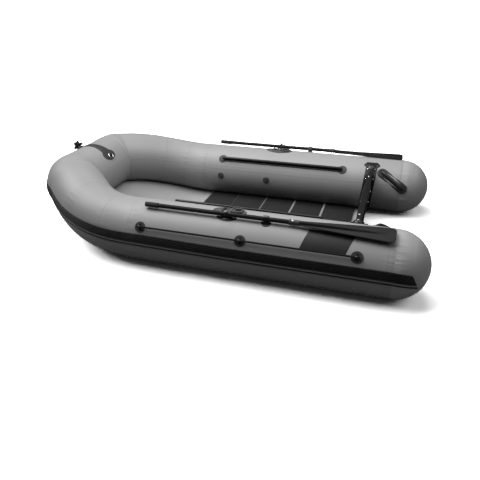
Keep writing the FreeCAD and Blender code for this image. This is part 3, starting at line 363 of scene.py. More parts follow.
# Where each cheek meets the nose the panels make a soft outer corner: the skin stands proud
# of the bend's arc by a share that falls off evenly to nothing at both ends of the bend.
round_steps = np.linspace(-90, 270, 169)
arc = np.radians(round_steps) * TUBE_RADIUS
corner_row = aft_count + cheek_count + BEND_STEPS // 2
corner_share = sum(np.clip(1 - np.abs(distance - distance[row]) / CORNER_HALF, 0, 1) ** 1.6
                   for row in (corner_row, len(line) - 1 - corner_row))
corner_side = np.clip(np.cos(np.radians(round_steps - CORNER_ANGLE)), 0, 1) ** 1.5
skin_height = CORNER_PROUD * corner_share[:, None] * corner_side
first_bow, last_bow = aft_count, len(line) - 1 - aft_count
spans = (("port", 0, first_bow), ("bow", first_bow, last_bow), ("starboard", last_bow, len(line) - 1))
for place, start, end in spans:
    rows = np.arange(start, end + 1)
    skin = round_tube(rows, round_steps[:-1], skin_height[rows, :-1])
    piece(f"tube_{place}_skin", [surface(skin, wrap=True)], tube_fabric,
          stands_for=(f"tube_{place}",), uv=lay_loops(distance[rows], arc), crease=80)

# The cones: quarter circles from the tube's end to its tip, with rays and rings of wrinkles. Their fabric
# is the tubes' grey painted lighter, as painted light.
CONE_STEPS, RAY_DEPTH, RING_DEPTH = 56, 0.006, 0.002
cone_fabric_lit = finish("cone_fabric_lit", 0.28, 0.42, grain=(0.0012, 0.05), mottle=(0.5, 0.03))
tree = cone_fabric_lit.node_tree
from_seam, _, ray_lay = lay(tree, across=7.0)
relief(tree, wrinkles(tree, ray_lay, 0.2, from_seam, [0.0, 0.33], 0.03, 0.07), RAY_DEPTH)
_, _, ring_lay = lay(tree, along=9.0, across=0.6)
relief(tree, wrinkles(tree, ring_lay, 0.2, from_seam, [0.06], 0.05, 0.08), RING_DEPTH)
relief(tree, bands(tree, from_seam, [0.0], 0.004, TAPE_SOFT), TAPE_HEIGHT)
quarter = np.linspace(0, math.pi / 2, CONE_STEPS)
tilt, turn = np.meshgrid(quarter, np.radians(round_steps[:-1]), indexing="ij")
for side, sign in SIDES:
    dome = np.stack([CAP_X - TUBE_RADIUS * np.sin(tilt),
                     sign * (HALF_SPACING + TUBE_RADIUS * np.cos(tilt) * np.cos(turn)),
                     TUBE_RADIUS * (1 + np.cos(tilt) * np.sin(turn))], axis=-1)
    piece(f"stern_cone_{side}", [surface(dome, wrap=True)], cone_fabric_lit,
          stands_for=(f"tube_cap_{side}",), uv=lay_loops(quarter * TUBE_RADIUS, arc), crease=80)

# Rub strake
# A broad ribbed band of black rubber with a narrow bead below it, glued along the widest
# line of the tubes. Both ends are cut on a slant, and grey piping fills the groove between.
strake_rubber = finish("strake_rubber", 0.009, 0.42, grain=(0.004, 0.08), mottle=(0.05, 0.15),
                       gloss=0.14)
piping_rubber = finish("piping_rubber", 0.22, 0.5)
BAND_TOP, BAND_FOOT, BEAD_TOP, BEAD_FOOT = 15.9, 0.6, -4.1, -6.6
PIPING_TOP, PIPING_FOOT = 0.0, -4.0
RIBS, GROOVE_HEIGHT, RIB_HEIGHT = 5, 0.0045, 0.0036
BEAD_HEIGHT, PIPING_HEIGHT, SUNK = 0.0050, 0.0032, -0.001
TAIL_STEPS, TAIL_STOPS, TAIL_SINKS = 19, (44.6, 38.2, 28.9), (8.5, 4.5)
# How many degrees the strake sits above its even line, by the X of the chambers' line.
DROOP_SPOTS = (-0.20, 0.30, 0.50, 0.66, 0.78, 0.86, 0.95, 1.05, 1.20)
DROOP = (0.0, 1.8, 2.4, 1.2, -0.8, -3.6, -7.4, -10.0, -10.0)
DROOP_BLEND = 15
rough_droop = np.pad(np.interp(line[:, 0], DROOP_SPOTS, DROOP), DROOP_BLEND // 2, mode="edge")
strake_droop = np.convolve(rough_droop, np.ones(DROOP_BLEND) / DROOP_BLEND, mode="valid")


def band_section():
    """Angle and height of the ribbed band: ribs are humps of a sine to the power 0.6."""
    share = np.linspace(0, 1, RIBS * 10 + 1)
    height = GROOVE_HEIGHT + RIB_HEIGHT * np.abs(np.sin(share * math.pi * RIBS)) ** 0.6
    angle = BAND_TOP + (BAND_FOOT - BAND_TOP) * share
    return np.pad(angle, 1, mode="edge"), np.pad(height, 1, constant_values=SUNK)


def bead_section(top, foot, height):
    """Angle and height of a half-round bead: a cosine across it and a sine's power up."""
    turn = np.linspace(0, math.pi, 13)
    angle = (top + foot) / 2 + (top - foot) / 2 * np.cos(turn)
    return angle, height * np.sin(turn) ** 0.7 + SUNK * (1 - np.sin(turn))


def strake_tail(sign, angles, heights):
    """The strake's end round a stern cone: each line swings aft as far as the slanted cut."""
    share = np.concatenate([[1.0], np.linspace(1, 0, TAIL_STEPS)])[:, None]
    lift = np.vstack([np.full(len(angles), SUNK), np.tile(heights, (TAIL_STEPS, 1))])
    swing = np.radians(share * np.interp(angles, [BEAD_FOOT, BAND_FOOT, BAND_TOP], TAIL_STOPS))
    low = np.radians(angles - np.interp(angles, [BEAD_FOOT, BAND_TOP], TAIL_SINKS) * share ** 1.5)
    reach = (TUBE_RADIUS + lift) * np.cos(low)
    return np.stack([CAP_X - reach * np.sin(swing), sign * (HALF_SPACING + reach * np.cos(swing)),
                     TUBE_RADIUS + (TUBE_RADIUS + lift) * np.sin(low)], axis=-1)


def strake_strip(name, section, material, stands_for=()):
    """One strip of the strake in three pieces: a side, the bow and the other side."""
    angles, heights = section
    for place, start, end in spans:
        rows = np.arange(start, end + 1)
        strip = round_tube(rows, angles + strake_droop[rows, None], heights)
        if place == "port":
            strip = np.concatenate([strake_tail(1, angles, heights), strip[1:]])
        if place == "starboard":
            strip = np.concatenate([strip[:-1], strake_tail(-1, angles, heights)[::-1]])
        piece(f"{name}_{place}", [surface(strip)], material,
              stands_for=tuple(node.format(place) for node in stands_for), crease=50)


strake_strip("strake_band", band_section(), strake_rubber, ("rub_strake_{}",))
strake_strip("strake_bead", bead_section(BEAD_TOP, BEAD_FOOT, BEAD_HEIGHT), strake_rubber)
strake_strip("strake_piping", bead_section(PIPING_TOP, PIPING_FOOT, PIPING_HEIGHT), piping_rubber)

# Bottom
# One sheet of light coated fabric, welded to the undersides of the tubes. It is flat under
# the floor and rises to the nose, drawn tight, with small folds where it meets the bow.
bottom_fabric = finish("bottom_fabric", 0.25, 0.45, grain=(0.0015, 0.08), mottle=(0.3, 0.04))
BOTTOM_AFT, BOTTOM_FORE, BOTTOM_THICKNESS = -0.950, 1.156, 0.003
BOTTOM_ROWS, BOTTOM_COLUMNS = 260, 121
# The sheet's edge lies inside the chambers' line, and below it by a depth that eases forward.
BOTTOM_INSET, DEPTH_SPOTS, BOTTOM_DEPTHS = 0.06, (0.4, 0.7), (0.186, 0.180)
FOLD_X, FOLD_EASE, FOLD_HEIGHT = 0.40, 0.3, 0.0016
bottom_x = np.linspace(BOTTOM_AFT, BOTTOM_FORE, BOTTOM_ROWS)
bottom_half = np.interp(bottom_x, half_line[:, 0], half_line[:, 1]) - BOTTOM_INSET
bottom_z = (np.interp(bottom_x, half_line[:, 0], half_line[:, 2])
            - np.interp(bottom_x, DEPTH_SPOTS, BOTTOM_DEPTHS))
sheet_x = np.repeat(bottom_x[:, None], BOTTOM_COLUMNS, axis=1)
sheet_y = bottom_half[:, None] * np.linspace(-1, 1, BOTTOM_COLUMNS)
# The folds are a product of two sines, each bent by the other direction.
folds = (np.clip((sheet_x - FOLD_X) / FOLD_EASE, 0, 1) * np.sin(sheet_y * 21 + 5 * np.sin(sheet_x * 6))
         * np.sin(sheet_x * 17 + 3 * sheet_y))
sheet_z = bottom_z[:, None] + BOTTOM_THICKNESS + FOLD_HEIGHT * folds
sheet = np.stack([sheet_x, sheet_y, sheet_z], axis=-1)
# The grid faces down, so its rows are reversed for the side that faces up.
piece("bottom_sheet", [surface(sheet[::-1]), surface(sheet - (0, 0, BOTTOM_THICKNESS))], bottom_fabric,
      stands_for=("bottom_skin",), turn_out=False)

# Floor
# Five stiff dark panels with a fine anti-slip texture lie on the bottom, and strips join them edge to edge
# so that the floor can be rolled up. The strips are painted darker towards the bow, as painted shade.
PANEL_AFT, PANEL_PITCH, PANEL_LENGTH = 0.543, 0.24897, 0.23997
PANEL_HALF, PANEL_LOW, PANEL_TOP, PANEL_EDGE = 0.5196, 0.0273, 0.0423, 0.002
JOINT_WEB, JOINT_TOP = 0.0084, PANEL_TOP + 0.0012
# The width of each joint's cover and its tone, which carries painted shade, from the stern forward.
JOINT_STRIPS = ((0.016, 0.19), (0.015, 0.17), (0.011, 0.11), (0.006, 0.045))


def stack(rows):
    """A closed shape: outlines in order as one wrapped surface, flat at both ends."""
    rows = np.asarray(rows, dtype=float)
    points, faces = surface(rows, wrap=True)
    count, last = rows.shape[1], len(points) - rows.shape[1]
    return points, faces + [list(range(count))[::-1], list(range(last, last + count))]


def at(z, outline):
    """A flat outline at a height."""
    return np.column_stack([outline, np.full(len(outline), z)])


def drawn_in(outline, amount):
    """An outline moved inwards: each point against the mean of its two sides' outward ways."""
    ways = unit(np.roll(outline, -1, axis=0) - outline)
    out = np.column_stack([ways[:, 1], -ways[:, 0]])
    before = np.roll(out, 1, axis=0)
    return outline - amount * (out + before) / (1 + np.sum(out * before, axis=1, keepdims=True))


def rounding(edge):
    """Depths and insets of four steps round a quarter circle, from a plate's side to its face."""
    turn = np.linspace(0, math.pi / 2, 4)
    return list(zip(edge * (1 - np.sin(turn)), edge * (1 - np.cos(turn))))


def slab(outline, low, high, edge):
    """A flat plate of this outline, with a quarter circle round both its rims."""
    rows = [at(low + depth, drawn_in(outline, inset)) for depth, inset in rounding(edge)[::-1]]
    return stack(rows + [at(high - depth, drawn_in(outline, inset)) for depth, inset in rounding(edge)])


def box_outline(length, width, radius, steps=6):
    """A rectangle with its long side along X: quarter circles about its four corners in turn."""
    turn = (np.arange(4)[:, None] + np.linspace(0, 1, steps)) * math.pi / 2
    middles = np.array([(1, 1), (-1, 1), (-1, -1), (1, -1)]) * (length / 2 - radius, width / 2 - radius)
    return (middles[:, None] + radius * np.stack([np.cos(turn), np.sin(turn)], axis=-1)).reshape(-1, 2)


def moved(shape, place):
    """A shape at another place, given as a 4 by 4 matrix."""
    points, faces = shape
    return np.asarray(points) @ place[:3, :3].T + place[:3, 3], faces


def shift(x=0.0, y=0.0, z=0.0, axis=None, degrees=0.0):
    """A move, with a turn about one axis before it."""
    place = np.eye(4)
    if axis:
        place[:3, :3] = np.array(Matrix.Rotation(math.radians(degrees), 3, axis))
    place[:3, 3] = (x, y, z)
    return place


panel_board = finish("panel_board", 0.014, 0.62, grain=(0.003, 0.5), mottle=(0.012, 0.18),
                     gloss=0.14)
panel = slab(box_outline(PANEL_LENGTH, 2 * PANEL_HALF, 0.004, steps=3), PANEL_LOW, PANEL_TOP, PANEL_EDGE)
for number in range(5):
    middle = shift(STERN_X + PANEL_AFT + number * PANEL_PITCH + PANEL_LENGTH / 2)
    piece(f"floor_board_{number + 1}", [moved(panel, middle)], panel_board,
          stands_for=(f"floor_panel_{number + 1}",))
for number, (width, tone) in enumerate(JOINT_STRIPS, 1):
    middle = shift(STERN_X + PANEL_AFT + number * PANEL_PITCH - (PANEL_PITCH - PANEL_LENGTH) / 2)
    web = slab(box_outline(JOINT_WEB, 2 * PANEL_HALF, 0.001, steps=2), PANEL_LOW, PANEL_TOP, 0.0006)
    cover = slab(box_outline(width, 2 * PANEL_HALF, 0.002, steps=2), PANEL_TOP, JOINT_TOP, 0.0005)
    # One fabric in shaded copies: each strip's tone is painted shade.
    joint_fabric = finish(f"joint_strip_{number}", tone, 0.4)
    piece(f"floor_joint_strip_{number}", [moved(web, middle), moved(cover, middle)], joint_fabric,
          stands_for=("floor_hinge_strips",))

# Transom
# A dark painted plywood board for a small outboard motor, edged with black trim that bright
# screws hold, with a ribbed plastic pad on each face for the motor's clamp. It leans aft.
BOARD_STATION, BOARD_THICK, BOARD_TOP = 0.446, 0.030, 0.378
BOARD_X = STERN_X + BOARD_STATION
RAKE = math.tan(math.radians(4.5))
TRIM_LENGTH, TRIM_WIDTH, TRIM_SUNK, TRIM_TOP, TRIM_EDGE = 1.0, 0.036, -0.001, 0.0035, 0.0015
# Where across the board the trim's screws stand, with their sizes.
SCREW_SPOTS, SCREW_RADIUS, SCREW_HEIGHT = (-0.325, 0.385, 0.465), 0.0065, 0.006
PAD_LENGTH, PAD_WIDTH, PAD_CORNER, PAD_EDGE = 0.320, 0.210, 0.020, 0.002
PAD_DEPTH, PAD_THICK, PAD_RIB_LOW, PAD_RIB_TOP = 0.105, 0.008, 0.006, 0.011
PAD_RIBS, PAD_RIB_FIRST, PAD_RIB_PITCH = 9, 0.08, 0.02
PAD_RIB_LENGTH, PAD_RIB_WIDTH, PAD_RIB_EDGE = 0.286, 0.008, 0.0015
DRAIN_Z = 0.070
DRAIN_PROFILE = ((0.024, 0), (0.024, 0.002), (0.022, 0.003), (0.013, 0.003), (0.009, 0.002),
                 (0.009, -0.014))
# A screw's profile in shares of its head's radius and height.
BOLT_PROFILE = ((1.5, 0), (1.5, 0.25), (1, 0.25), (1, 0.6), (0.8, 0.88), (0.35, 1), (0, 1))
board_paint = finish("board_paint", 0.045, 0.42, grain=(0.006, 0.15), mottle=(0.04, 0.12))
black_plastic = finish("black_plastic", 0.011, 0.26, grain=(0.001, 0.10), mottle=(0.03, 0.1))
bright_steel = finish("bright_steel", 0.75, 0.22, metallic=1.0)


def lathe(profile, steps=40):
    """A shape turned about Z: a circle at each of the profile's radii and heights, bottom first."""
    turn = np.linspace(0, 2 * math.pi, steps, endpoint=False)
    ring = np.column_stack([np.cos(turn), np.sin(turn)])
    return stack([at(height, ring * max(radius, 1e-5)) for radius, height in profile])


def bolt(radius, height):
    """A round-headed screw with a flat washer, turned from a profile in radii and heights."""
    return lathe([(radius * across, height * up) for across, up in BOLT_PROFILE], steps=20)


def pose(x_axis, y_axis, z_axis, spot):
    """A place from its three axes and its origin."""
    place = np.eye(4)
    place[:3, :3] = np.column_stack([x_axis, y_axis, z_axis])
    place[:3, 3] = spot
    return place


def facing(way, spot=(0, 0, 0)):
    """A place whose Z points to the bow for way 1 and aft for way -1."""
    return pose((0, 0, -way), (0, 1, 0), (way, 0, 0), spot)


def raked(shape):
    """A shape leant aft: each point moves forward by its depth below the board's top times the rake."""
    points, faces = shape
    return points + np.outer(BOARD_TOP - points[:, 2], (RAKE, 0, 0)), faces


def copied(node):
    """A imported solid's surface with its doubled corners merged, as points and faces."""
    soup = bmesh.new()
    soup.from_mesh(node.data)
    bmesh.ops.remove_doubles(soup, verts=soup.verts, dist=1e-6)
    merged = bpy.data.meshes.new("merged")
    soup.to_mesh(merged)
    soup.free()
    points = np.empty(3 * len(merged.vertices))
    merged.vertices.foreach_get("co", points)
    faces = [list(face.vertices) for face in merged.polygons]
    bpy.data.meshes.remove(merged)
    return moved((points.reshape(-1, 3), faces), np.array(node.matrix_world))


board = raked(copied(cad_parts["transom_board"]))
piece("transom_board_painted", [board], board_paint,
      stands_for=("transom_board",), crease=30)
trim = moved(slab(box_outline(TRIM_LENGTH, TRIM_WIDTH, 0.004), TRIM_SUNK, TRIM_TOP, TRIM_EDGE),
             pose((0, 1, 0), (-1, 0, 0), (0, 0, 1), (BOARD_X, 0, BOARD_TOP)))
piece("transom_trim", [raked(trim)], black_plastic)
screws = [moved(bolt(SCREW_RADIUS, SCREW_HEIGHT), shift(BOARD_X + 0.004, y, BOARD_TOP + 0.0033))
          for y in SCREW_SPOTS]
piece("transom_screws", screws, bright_steel)
for node, way in (("motor_pad_inner", 1), ("motor_pad_outer", -1)):
    spot = (BOARD_X + way * BOARD_THICK / 2, 0, BOARD_TOP - PAD_DEPTH)
    place = pose((0, 1, 0), (0, 0, 1), (1, 0, 0), spot)
    low, high = sorted((0.0, way * PAD_THICK))
    shapes = [moved(slab(box_outline(PAD_LENGTH, PAD_WIDTH, PAD_CORNER), low, high, PAD_EDGE), place)]
    low, high = sorted((way * PAD_RIB_LOW, way * PAD_RIB_TOP))
    rib = slab(box_outline(PAD_RIB_LENGTH, PAD_RIB_WIDTH, 0.003, steps=3), low, high, PAD_RIB_EDGE)
    shapes += [moved(rib, place @ shift(y=PAD_RIB_FIRST - number * PAD_RIB_PITCH))
               for number in range(PAD_RIBS)]
    piece(f"{node}_plate", [raked(shape) for shape in shapes], black_plastic,
          stands_for=(node,))
flanges = [moved(lathe(DRAIN_PROFILE), facing(way, (BOARD_X + way * BOARD_THICK / 2, 0, DRAIN_Z)))
           for way in (1, -1)]
piece("transom_drain_flanges", [raked(shape) for shape in flanges], black_plastic,
      stands_for=("transom_drain",), turn_out=False)

# Transom holders
# A black moulding glued round the inboard side of each tube: a foot, two walls that grip the
# board's end between them, bolted through, and a domed cap near the crown.
HOLDER_TOP, HOLDER_FOOT = 110, 228
HOLDER_STEPS, FOOT_HALF, FOOT_HEIGHT = 60, 0.044, 0.004
WALL_INNER, WALL_OUTER, WALL_HEIGHT, WALL_EDGE = 0.0154, 0.0262, 0.036, 0.0022
CAP_PROFILE = ((0.036, 0.0), (0.036, 0.010), (0.032, 0.018), (0.024, 0.024), (0.010, 0.027), (0, 0.027))
HOLDER_BOLTS, BOLT_LIFT, BOLT_RADIUS, BOLT_HEIGHT = (132, 152, 176, 200), 0.022, 0.0045, 0.005


def on_tube(sign, station, angle, height=0.0):
    """Points over a side tube: the radius and height, turned by the angle, at the station."""
    turn, reach = np.radians(angle), TUBE_RADIUS + height
    return np.stack(np.broadcast_arrays(STERN_X + station, sign * (HALF_SPACING + reach * np.cos(turn)),
                                        TUBE_RADIUS + reach * np.sin(turn)), axis=-1)


def tube_place(sign, station, angle, height=0.0):
    """A place on a side tube: Z out of it, X towards the bow."""
    out = np.array([0, sign * math.cos(math.radians(angle)), math.sin(math.radians(angle))])
    return pose((1, 0, 0), np.cross(out, (1, 0, 0)), out, on_tube(sign, station, angle, height))


def wrapped(sign, station, angle, shape):
    """A flat shape bent round a side tube: X stays along it, Y follows its skin, Z is height."""
    points, faces = shape
    turned = angle - sign * np.degrees(points[:, 1] / TUBE_RADIUS)
    return on_tube(sign, station + points[:, 0], turned, points[:, 2]), faces


def patch(outline, thickness, edge=0.0012, rim=0.0, rim_height=0.0):
    """A thin pad with a quarter-round edge, and a raised rim if asked, fine enough to be bent.

    Its outline is drawn in by the edge's quarter circle, down the rim's slope, and then as
    shares of itself about its middle.
    """
    top, foot = thickness + rim_height, rim * 1.25
    rows = [at(-0.0012, outline)]
    rows += [at(top - depth, drawn_in(outline, inset)) for depth, inset in rounding(edge)]
    if rim:
        rows += [at(top, drawn_in(outline, rim)), at(thickness, drawn_in(outline, foot))]
    middle, inner = outline.mean(axis=0), drawn_in(outline, max(foot, edge))
    rows += [at(thickness, middle + (inner - middle) * share)
             for share in (0.9, 0.75, 0.6, 0.45, 0.3, 0.15, 0.01)]
    return stack(rows)


def round_outline(radius, steps=48, stretch=1.0):
    """A circle, or an oval that is longer along X."""
    turn = np.linspace(0, 2 * math.pi, steps, endpoint=False)
    return np.column_stack([radius * stretch * np.cos(turn), radius * np.sin(turn)])


def ribbon(sign, along, low, high, foot, top):
    """A bar round the tube: at each distance along it, a six-sided section up to its own top."""
    across = np.array([low, high, high, high - WALL_EDGE, low + WALL_EDGE, low])
    up = np.column_stack([np.full((len(along), 2), foot), top - WALL_EDGE, top, top, top - WALL_EDGE])
    return stack(np.stack(np.broadcast_arrays(across, sign * along[:, None], up), axis=-1))


holder_arc = math.radians(HOLDER_FOOT - HOLDER_TOP) * TUBE_RADIUS
holder_along = np.linspace(-holder_arc / 2 + 0.012, holder_arc / 2, HOLDER_STEPS)
# From the foot up, each wall rises quickly to its full height beside the board, and slopes
# away to almost nothing where the cap covers it near the crown.
step = np.arange(HOLDER_STEPS)
wall_top = WALL_HEIGHT * np.clip(np.minimum(0.35 + step / 9, (53 - step) / 8), 0.12, 1)
foot_top = np.full(HOLDER_STEPS, FOOT_HEIGHT)
for side, sign in SIDES:
    bars = [ribbon(sign, holder_along, -FOOT_HALF, FOOT_HALF, -0.001, foot_top),
            ribbon(sign, holder_along, -WALL_OUTER, -WALL_INNER, 0.0, wall_top),
            ribbon(sign, holder_along, WALL_INNER, WALL_OUTER, 0.0, wall_top)]
    shapes = [wrapped(sign, BOARD_STATION, (HOLDER_TOP + HOLDER_FOOT) / 2, bar) for bar in bars]
    cap_patch = patch(round_outline(0.029, stretch=2.1), 0.005, edge=0.003)
    shapes.append(wrapped(sign, BOARD_STATION, HOLDER_TOP + 8, cap_patch))
    shapes.append(moved(lathe(CAP_PROFILE), tube_place(sign, BOARD_STATION, HOLDER_TOP + 17)))
    piece(f"transom_holder_moulding_{side}", [raked(shape) for shape in shapes], black_plastic,
          stands_for=(f"transom_holder_{side}",), crease=30)
    spots = [tube_place(sign, BOARD_STATION + way * WALL_OUTER, angle, BOLT_LIFT) @ facing(way)
             for angle in HOLDER_BOLTS for way in (1, -1)]
    bolts = [raked(moved(bolt(BOLT_RADIUS, BOLT_HEIGHT), spot)) for spot in spots]
    piece(f"transom_holder_bolts_{side}", bolts, bright_steel)

# Seat rails
# A black bolt-rope rail along the inboard shoulder of each tube, which a seat slides on:
# a fabric foot, a neck and a round bead, with a round patch over each end.
patch_fabric = finish("patch_fabric", 0.030, 0.5, grain=(0.0015, 0.1), mottle=(0.05, 0.08))
RAIL_ANGLE, RAIL_AFT, RAIL_FORE = 136, 0.669, 1.6809
RAIL_MIDDLE, RAIL_LENGTH = (RAIL_AFT + RAIL_FORE) / 2, RAIL_FORE - RAIL_AFT
RAIL_FOOT_WIDTH, RAIL_NECK_WIDTH, RAIL_NECK_TOP = 0.042, 0.007, 0.020
BEAD_LIFT, BEAD_RADIUS, END_PATCH_RADIUS = 0.0222, 0.0090, 0.035


def rod(path, radius, sides=16):
    """A round bar: circles square to a path, with the radius given once or for each point."""
    path = np.asarray(path, dtype=float)
    ways = unit(np.gradient(path, axis=0))
    out = square_to(ways, np.cross(ways[0], (0.3, 0.5, 0.81)))
    turn = np.linspace(0, 2 * math.pi, sides, endpoint=False)[:, None]
    circles = np.cos(turn) * out[:, None] + np.sin(turn) * np.cross(ways, out)[:, None]
    return stack(path[:, None] + np.broadcast_to(radius, len(path))[:, None, None] * circles)


def bar(start, end, radius, sides=16, round_end=0.0):
    """A straight round bar, its radius a quarter of an ellipse over the length of each end."""
    start, end = np.asarray(start, dtype=float), np.asarray(end, dtype=float)
    if not round_end:
        return rod([start, (start + end) / 2, end], radius, sides)
    length = float(np.linalg.norm(end - start))
    turn = np.linspace(0, math.pi / 2, 6)
    offsets = np.append(round_end * (1 - np.cos(turn)), length / 2)
    shares = np.append(np.sin(turn) * 0.98 + 0.02, 1.0)
    offsets = np.append(offsets, length - offsets[-2::-1])[:, None]
    return rod(start + unit(end - start) * offsets, np.append(shares, shares[-2::-1]) * radius, sides)


rail_foot = patch(box_outline(RAIL_LENGTH, RAIL_FOOT_WIDTH, 0.008), 0.0055, edge=0.002)
rail_neck = slab(box_outline(RAIL_LENGTH, RAIL_NECK_WIDTH, 0.002, steps=3), 0.002, RAIL_NECK_TOP, 0.001)
end_patch = patch(round_outline(END_PATCH_RADIUS), 0.0025)
for side, sign in SIDES:
    foot = wrapped(sign, RAIL_MIDDLE, RAIL_ANGLE, rail_foot)
    neck = moved(rail_neck, tube_place(sign, RAIL_MIDDLE, RAIL_ANGLE))
    bead_ends = (on_tube(sign, spot, RAIL_ANGLE, BEAD_LIFT) for spot in (RAIL_AFT, RAIL_FORE))
    bead = bar(*bead_ends, BEAD_RADIUS, sides=20, round_end=0.006)
    piece(f"seat_rail_extrusion_{side}", [foot, neck, bead], black_plastic,
          stands_for=(f"seat_rail_{side}",))
    ends = [wrapped(sign, spot, RAIL_ANGLE, end_patch) for spot in (RAIL_AFT, RAIL_FORE)]
    piece(f"seat_rail_end_patches_{side}", ends, patch_fabric,
          stands_for=(f"seat_rail_patches_{side}",))

# Air valves
# A screwed plastic valve on the inboard side of each chamber, its flange welded to the skin,
# under a cap with eight finger notches.
valve_plastic = finish("valve_plastic", 0.05, 0.45)
VALVE_STATIONS, VALVE_ANGLE = (1.283, 1.68385), 176
VALVE_RADIUS, NOTCH_DEPTH, NOTCHES = 0.0190, 0.0016, 8
VALVE_CAP = ((1, 0.004), (1, 0.0085), (0.9, 0.0092), (0.45, 0.0092), (0.4, 0.0080), (0.01, 0.0080))
VALVE_FLANGE = ((0.026, -0.001), (0.026, 0.0035), (0.0245, 0.0055), (0.0205, 0.0057), (0.0200, 0.004),
                (0.001, 0.004))
cap_turn = np.linspace(0, 2 * math.pi, 64, endpoint=False)
cap_reach = VALVE_RADIUS - NOTCH_DEPTH * (np.cos(cap_turn * NOTCHES) > 0.3)
cap_ring = np.column_stack([np.cos(cap_turn) * cap_reach, np.sin(cap_turn) * cap_reach])
valve_cap = stack([at(height, cap_ring * share) for share, height in VALVE_CAP])
for side, sign in SIDES:
    shapes = [moved(shape, tube_place(sign, station, VALVE_ANGLE))
              for station in VALVE_STATIONS for shape in (lathe(VALVE_FLANGE), valve_cap)]
    piece(f"air_valve_caps_{side}", shapes, valve_plastic,
          stands_for=(f"air_valves_{side}",))

# Grab handles
# A moulded rubber handle on the inboard side of each tube abaft the transom: a long pad with
# a raised rim, glued down, and a padded grip that stands over a finger recess.
handle_rubber = finish("handle_rubber", 0.022, 0.5, grain=(0.002, 0.12))
HANDLE_STATIONS, HANDLE_ANGLE, HANDLE_SLANT = {"port": 0.257, "starboard": 0.280}, 150, 34
HANDLE_PAD = (0.268, 0.076, 0.037)
GRIP_HALF, GRIP_LIFT, GRIP_RADIUS, GRIP_SWELL = 0.102, 0.030, 0.0095, 0.0035


def spun(outline, degrees):
    """A flat outline turned about Z."""
    turn = math.radians(degrees)
    return outline @ np.array([[math.cos(turn), math.sin(turn)], [-math.sin(turn), math.cos(turn)]])


# The grip rises by its lift times one less the sixth power of the share out, and swells as a cosine of it.
grip_share = np.linspace(-1, 1, 41)
grip_lift = GRIP_LIFT * (1 - np.abs(grip_share) ** 6) + 0.001
grip_radius = GRIP_RADIUS + GRIP_SWELL * np.cos(grip_share * math.pi / 2)
for side, sign in SIDES:
    bend_round = (sign, HANDLE_STATIONS[side], HANDLE_ANGLE)
    outline = spun(box_outline(*HANDLE_PAD, steps=14), sign * HANDLE_SLANT)
    pad = wrapped(*bend_round, patch(outline, 0.0035, edge=0.002, rim=0.012, rim_height=0.003))
    flat = spun(np.column_stack([grip_share * GRIP_HALF, 0 * grip_share]), sign * HANDLE_SLANT)
    grip_path, _ = wrapped(*bend_round, (np.column_stack([flat, grip_lift]), []))
    piece(f"grab_handle_moulding_{side}", [pad, rod(grip_path, grip_radius, sides=20)], handle_rubber,
          stands_for=(f"grab_handle_{side}",), crease=45)

# Lifelines
# One taut black cord a side, threaded through the lugs of three round rubber patches and
# stopped by a knot beyond each end patch.
rope_cord = finish("rope_cord", 0.010, 0.8, grain=(0.004, 0.5), mottle=(0.006, 0.3), gloss=0.06)
EYE_ANGLE, EYE_STATIONS = 31, (0.4155, 1.106, 1.77185)
EYE_RADIUS, LUG_STRETCH = 0.0355, 1.25
ROPE_LIFT, ROPE_RADIUS, ROPE_PAST, KNOT_RADIUS = 0.015, 0.0060, 0.016, 0.0075
LUG_PROFILE = ((0.002, 0.0125), (0.005, 0.0105), (0.010, 0.0095), (0.015, 0.0098), (0.020, 0.0092),
               (0.0235, 0.0070), (0.0250, 0.0035), (0.0254, 0.0002))
eye_disc = patch(round_outline(EYE_RADIUS), 0.0028, edge=0.0016, rim=0.004, rim_height=0.0008)
lug = stack([at(height, round_outline(width, steps=28, stretch=LUG_STRETCH))
             for height, width in LUG_PROFILE])
lug_bar = slab(box_outline(0.012, 0.050, 0.005), 0.002, 0.008, 0.002)
for side, sign in SIDES:
    discs = [wrapped(sign, station, EYE_ANGLE, eye_disc) for station in EYE_STATIONS]
    piece(f"lifeline_patches_{side}", discs, patch_fabric,
          stands_for=(f"lifeline_eyes_{side}",), crease=45)
    lugs = [moved(shape, tube_place(sign, station, EYE_ANGLE))
            for station in EYE_STATIONS for shape in (lug, lug_bar)]
    piece(f"lifeline_lugs_{side}", lugs, black_plastic, crease=45)
    aft_end = on_tube(sign, EYE_STATIONS[0] - ROPE_PAST, EYE_ANGLE, ROPE_LIFT)
    fore_end = on_tube(sign, EYE_STATIONS[-1] + ROPE_PAST, EYE_ANGLE, ROPE_LIFT)
    shapes = [bar(aft_end, fore_end, ROPE_RADIUS, sides=14)]
    shapes += [bar(end + (start, 0, 0), end + (stop, 0, 0), KNOT_RADIUS, round_end=0.004)
               for end, start, stop in ((aft_end, -0.002, 0.009), (fore_end, -0.008, 0.003))]
    piece(f"lifeline_cord_{side}", shapes, rope_cord, stands_for=(f"lifeline_{side}",),
          crease=60)

# Side plates
# A slanted dark field printed on each side tube near the stern, left bare. Its points are
# weighted means of its four corners, given as stations and angles.
plate_print = finish("plate_print", 0.014, 0.5, grain=(0.0012, 0.05), mottle=(0.4, 0.25))
PLATE_CORNERS = ((0.706, 67.0), (0.440, 64.5), (0.482, 31.0), (0.746, 32.5))
PLATE_LIFT, PLATE_ROWS, PLATE_COLUMNS = 0.0005, 25, 7
down, across = np.linspace(0, 1, PLATE_ROWS)[:, None], np.linspace(0, 1, PLATE_COLUMNS)
weights = np.stack([(1 - down) * (1 - across), (1 - down) * across,
                    down * across, down * (1 - across)], axis=-1)
plate_stations, plate_angles = np.moveaxis(weights @ PLATE_CORNERS, -1, 0)
for side, sign in SIDES:
    # The port plate's rows are reversed, so that both plates face out.
    plate = surface(on_tube(sign, plate_stations, plate_angles, PLATE_LIFT)[::-sign])
    piece(f"side_plate_{side}", [plate], plate_print, turn_out=False)

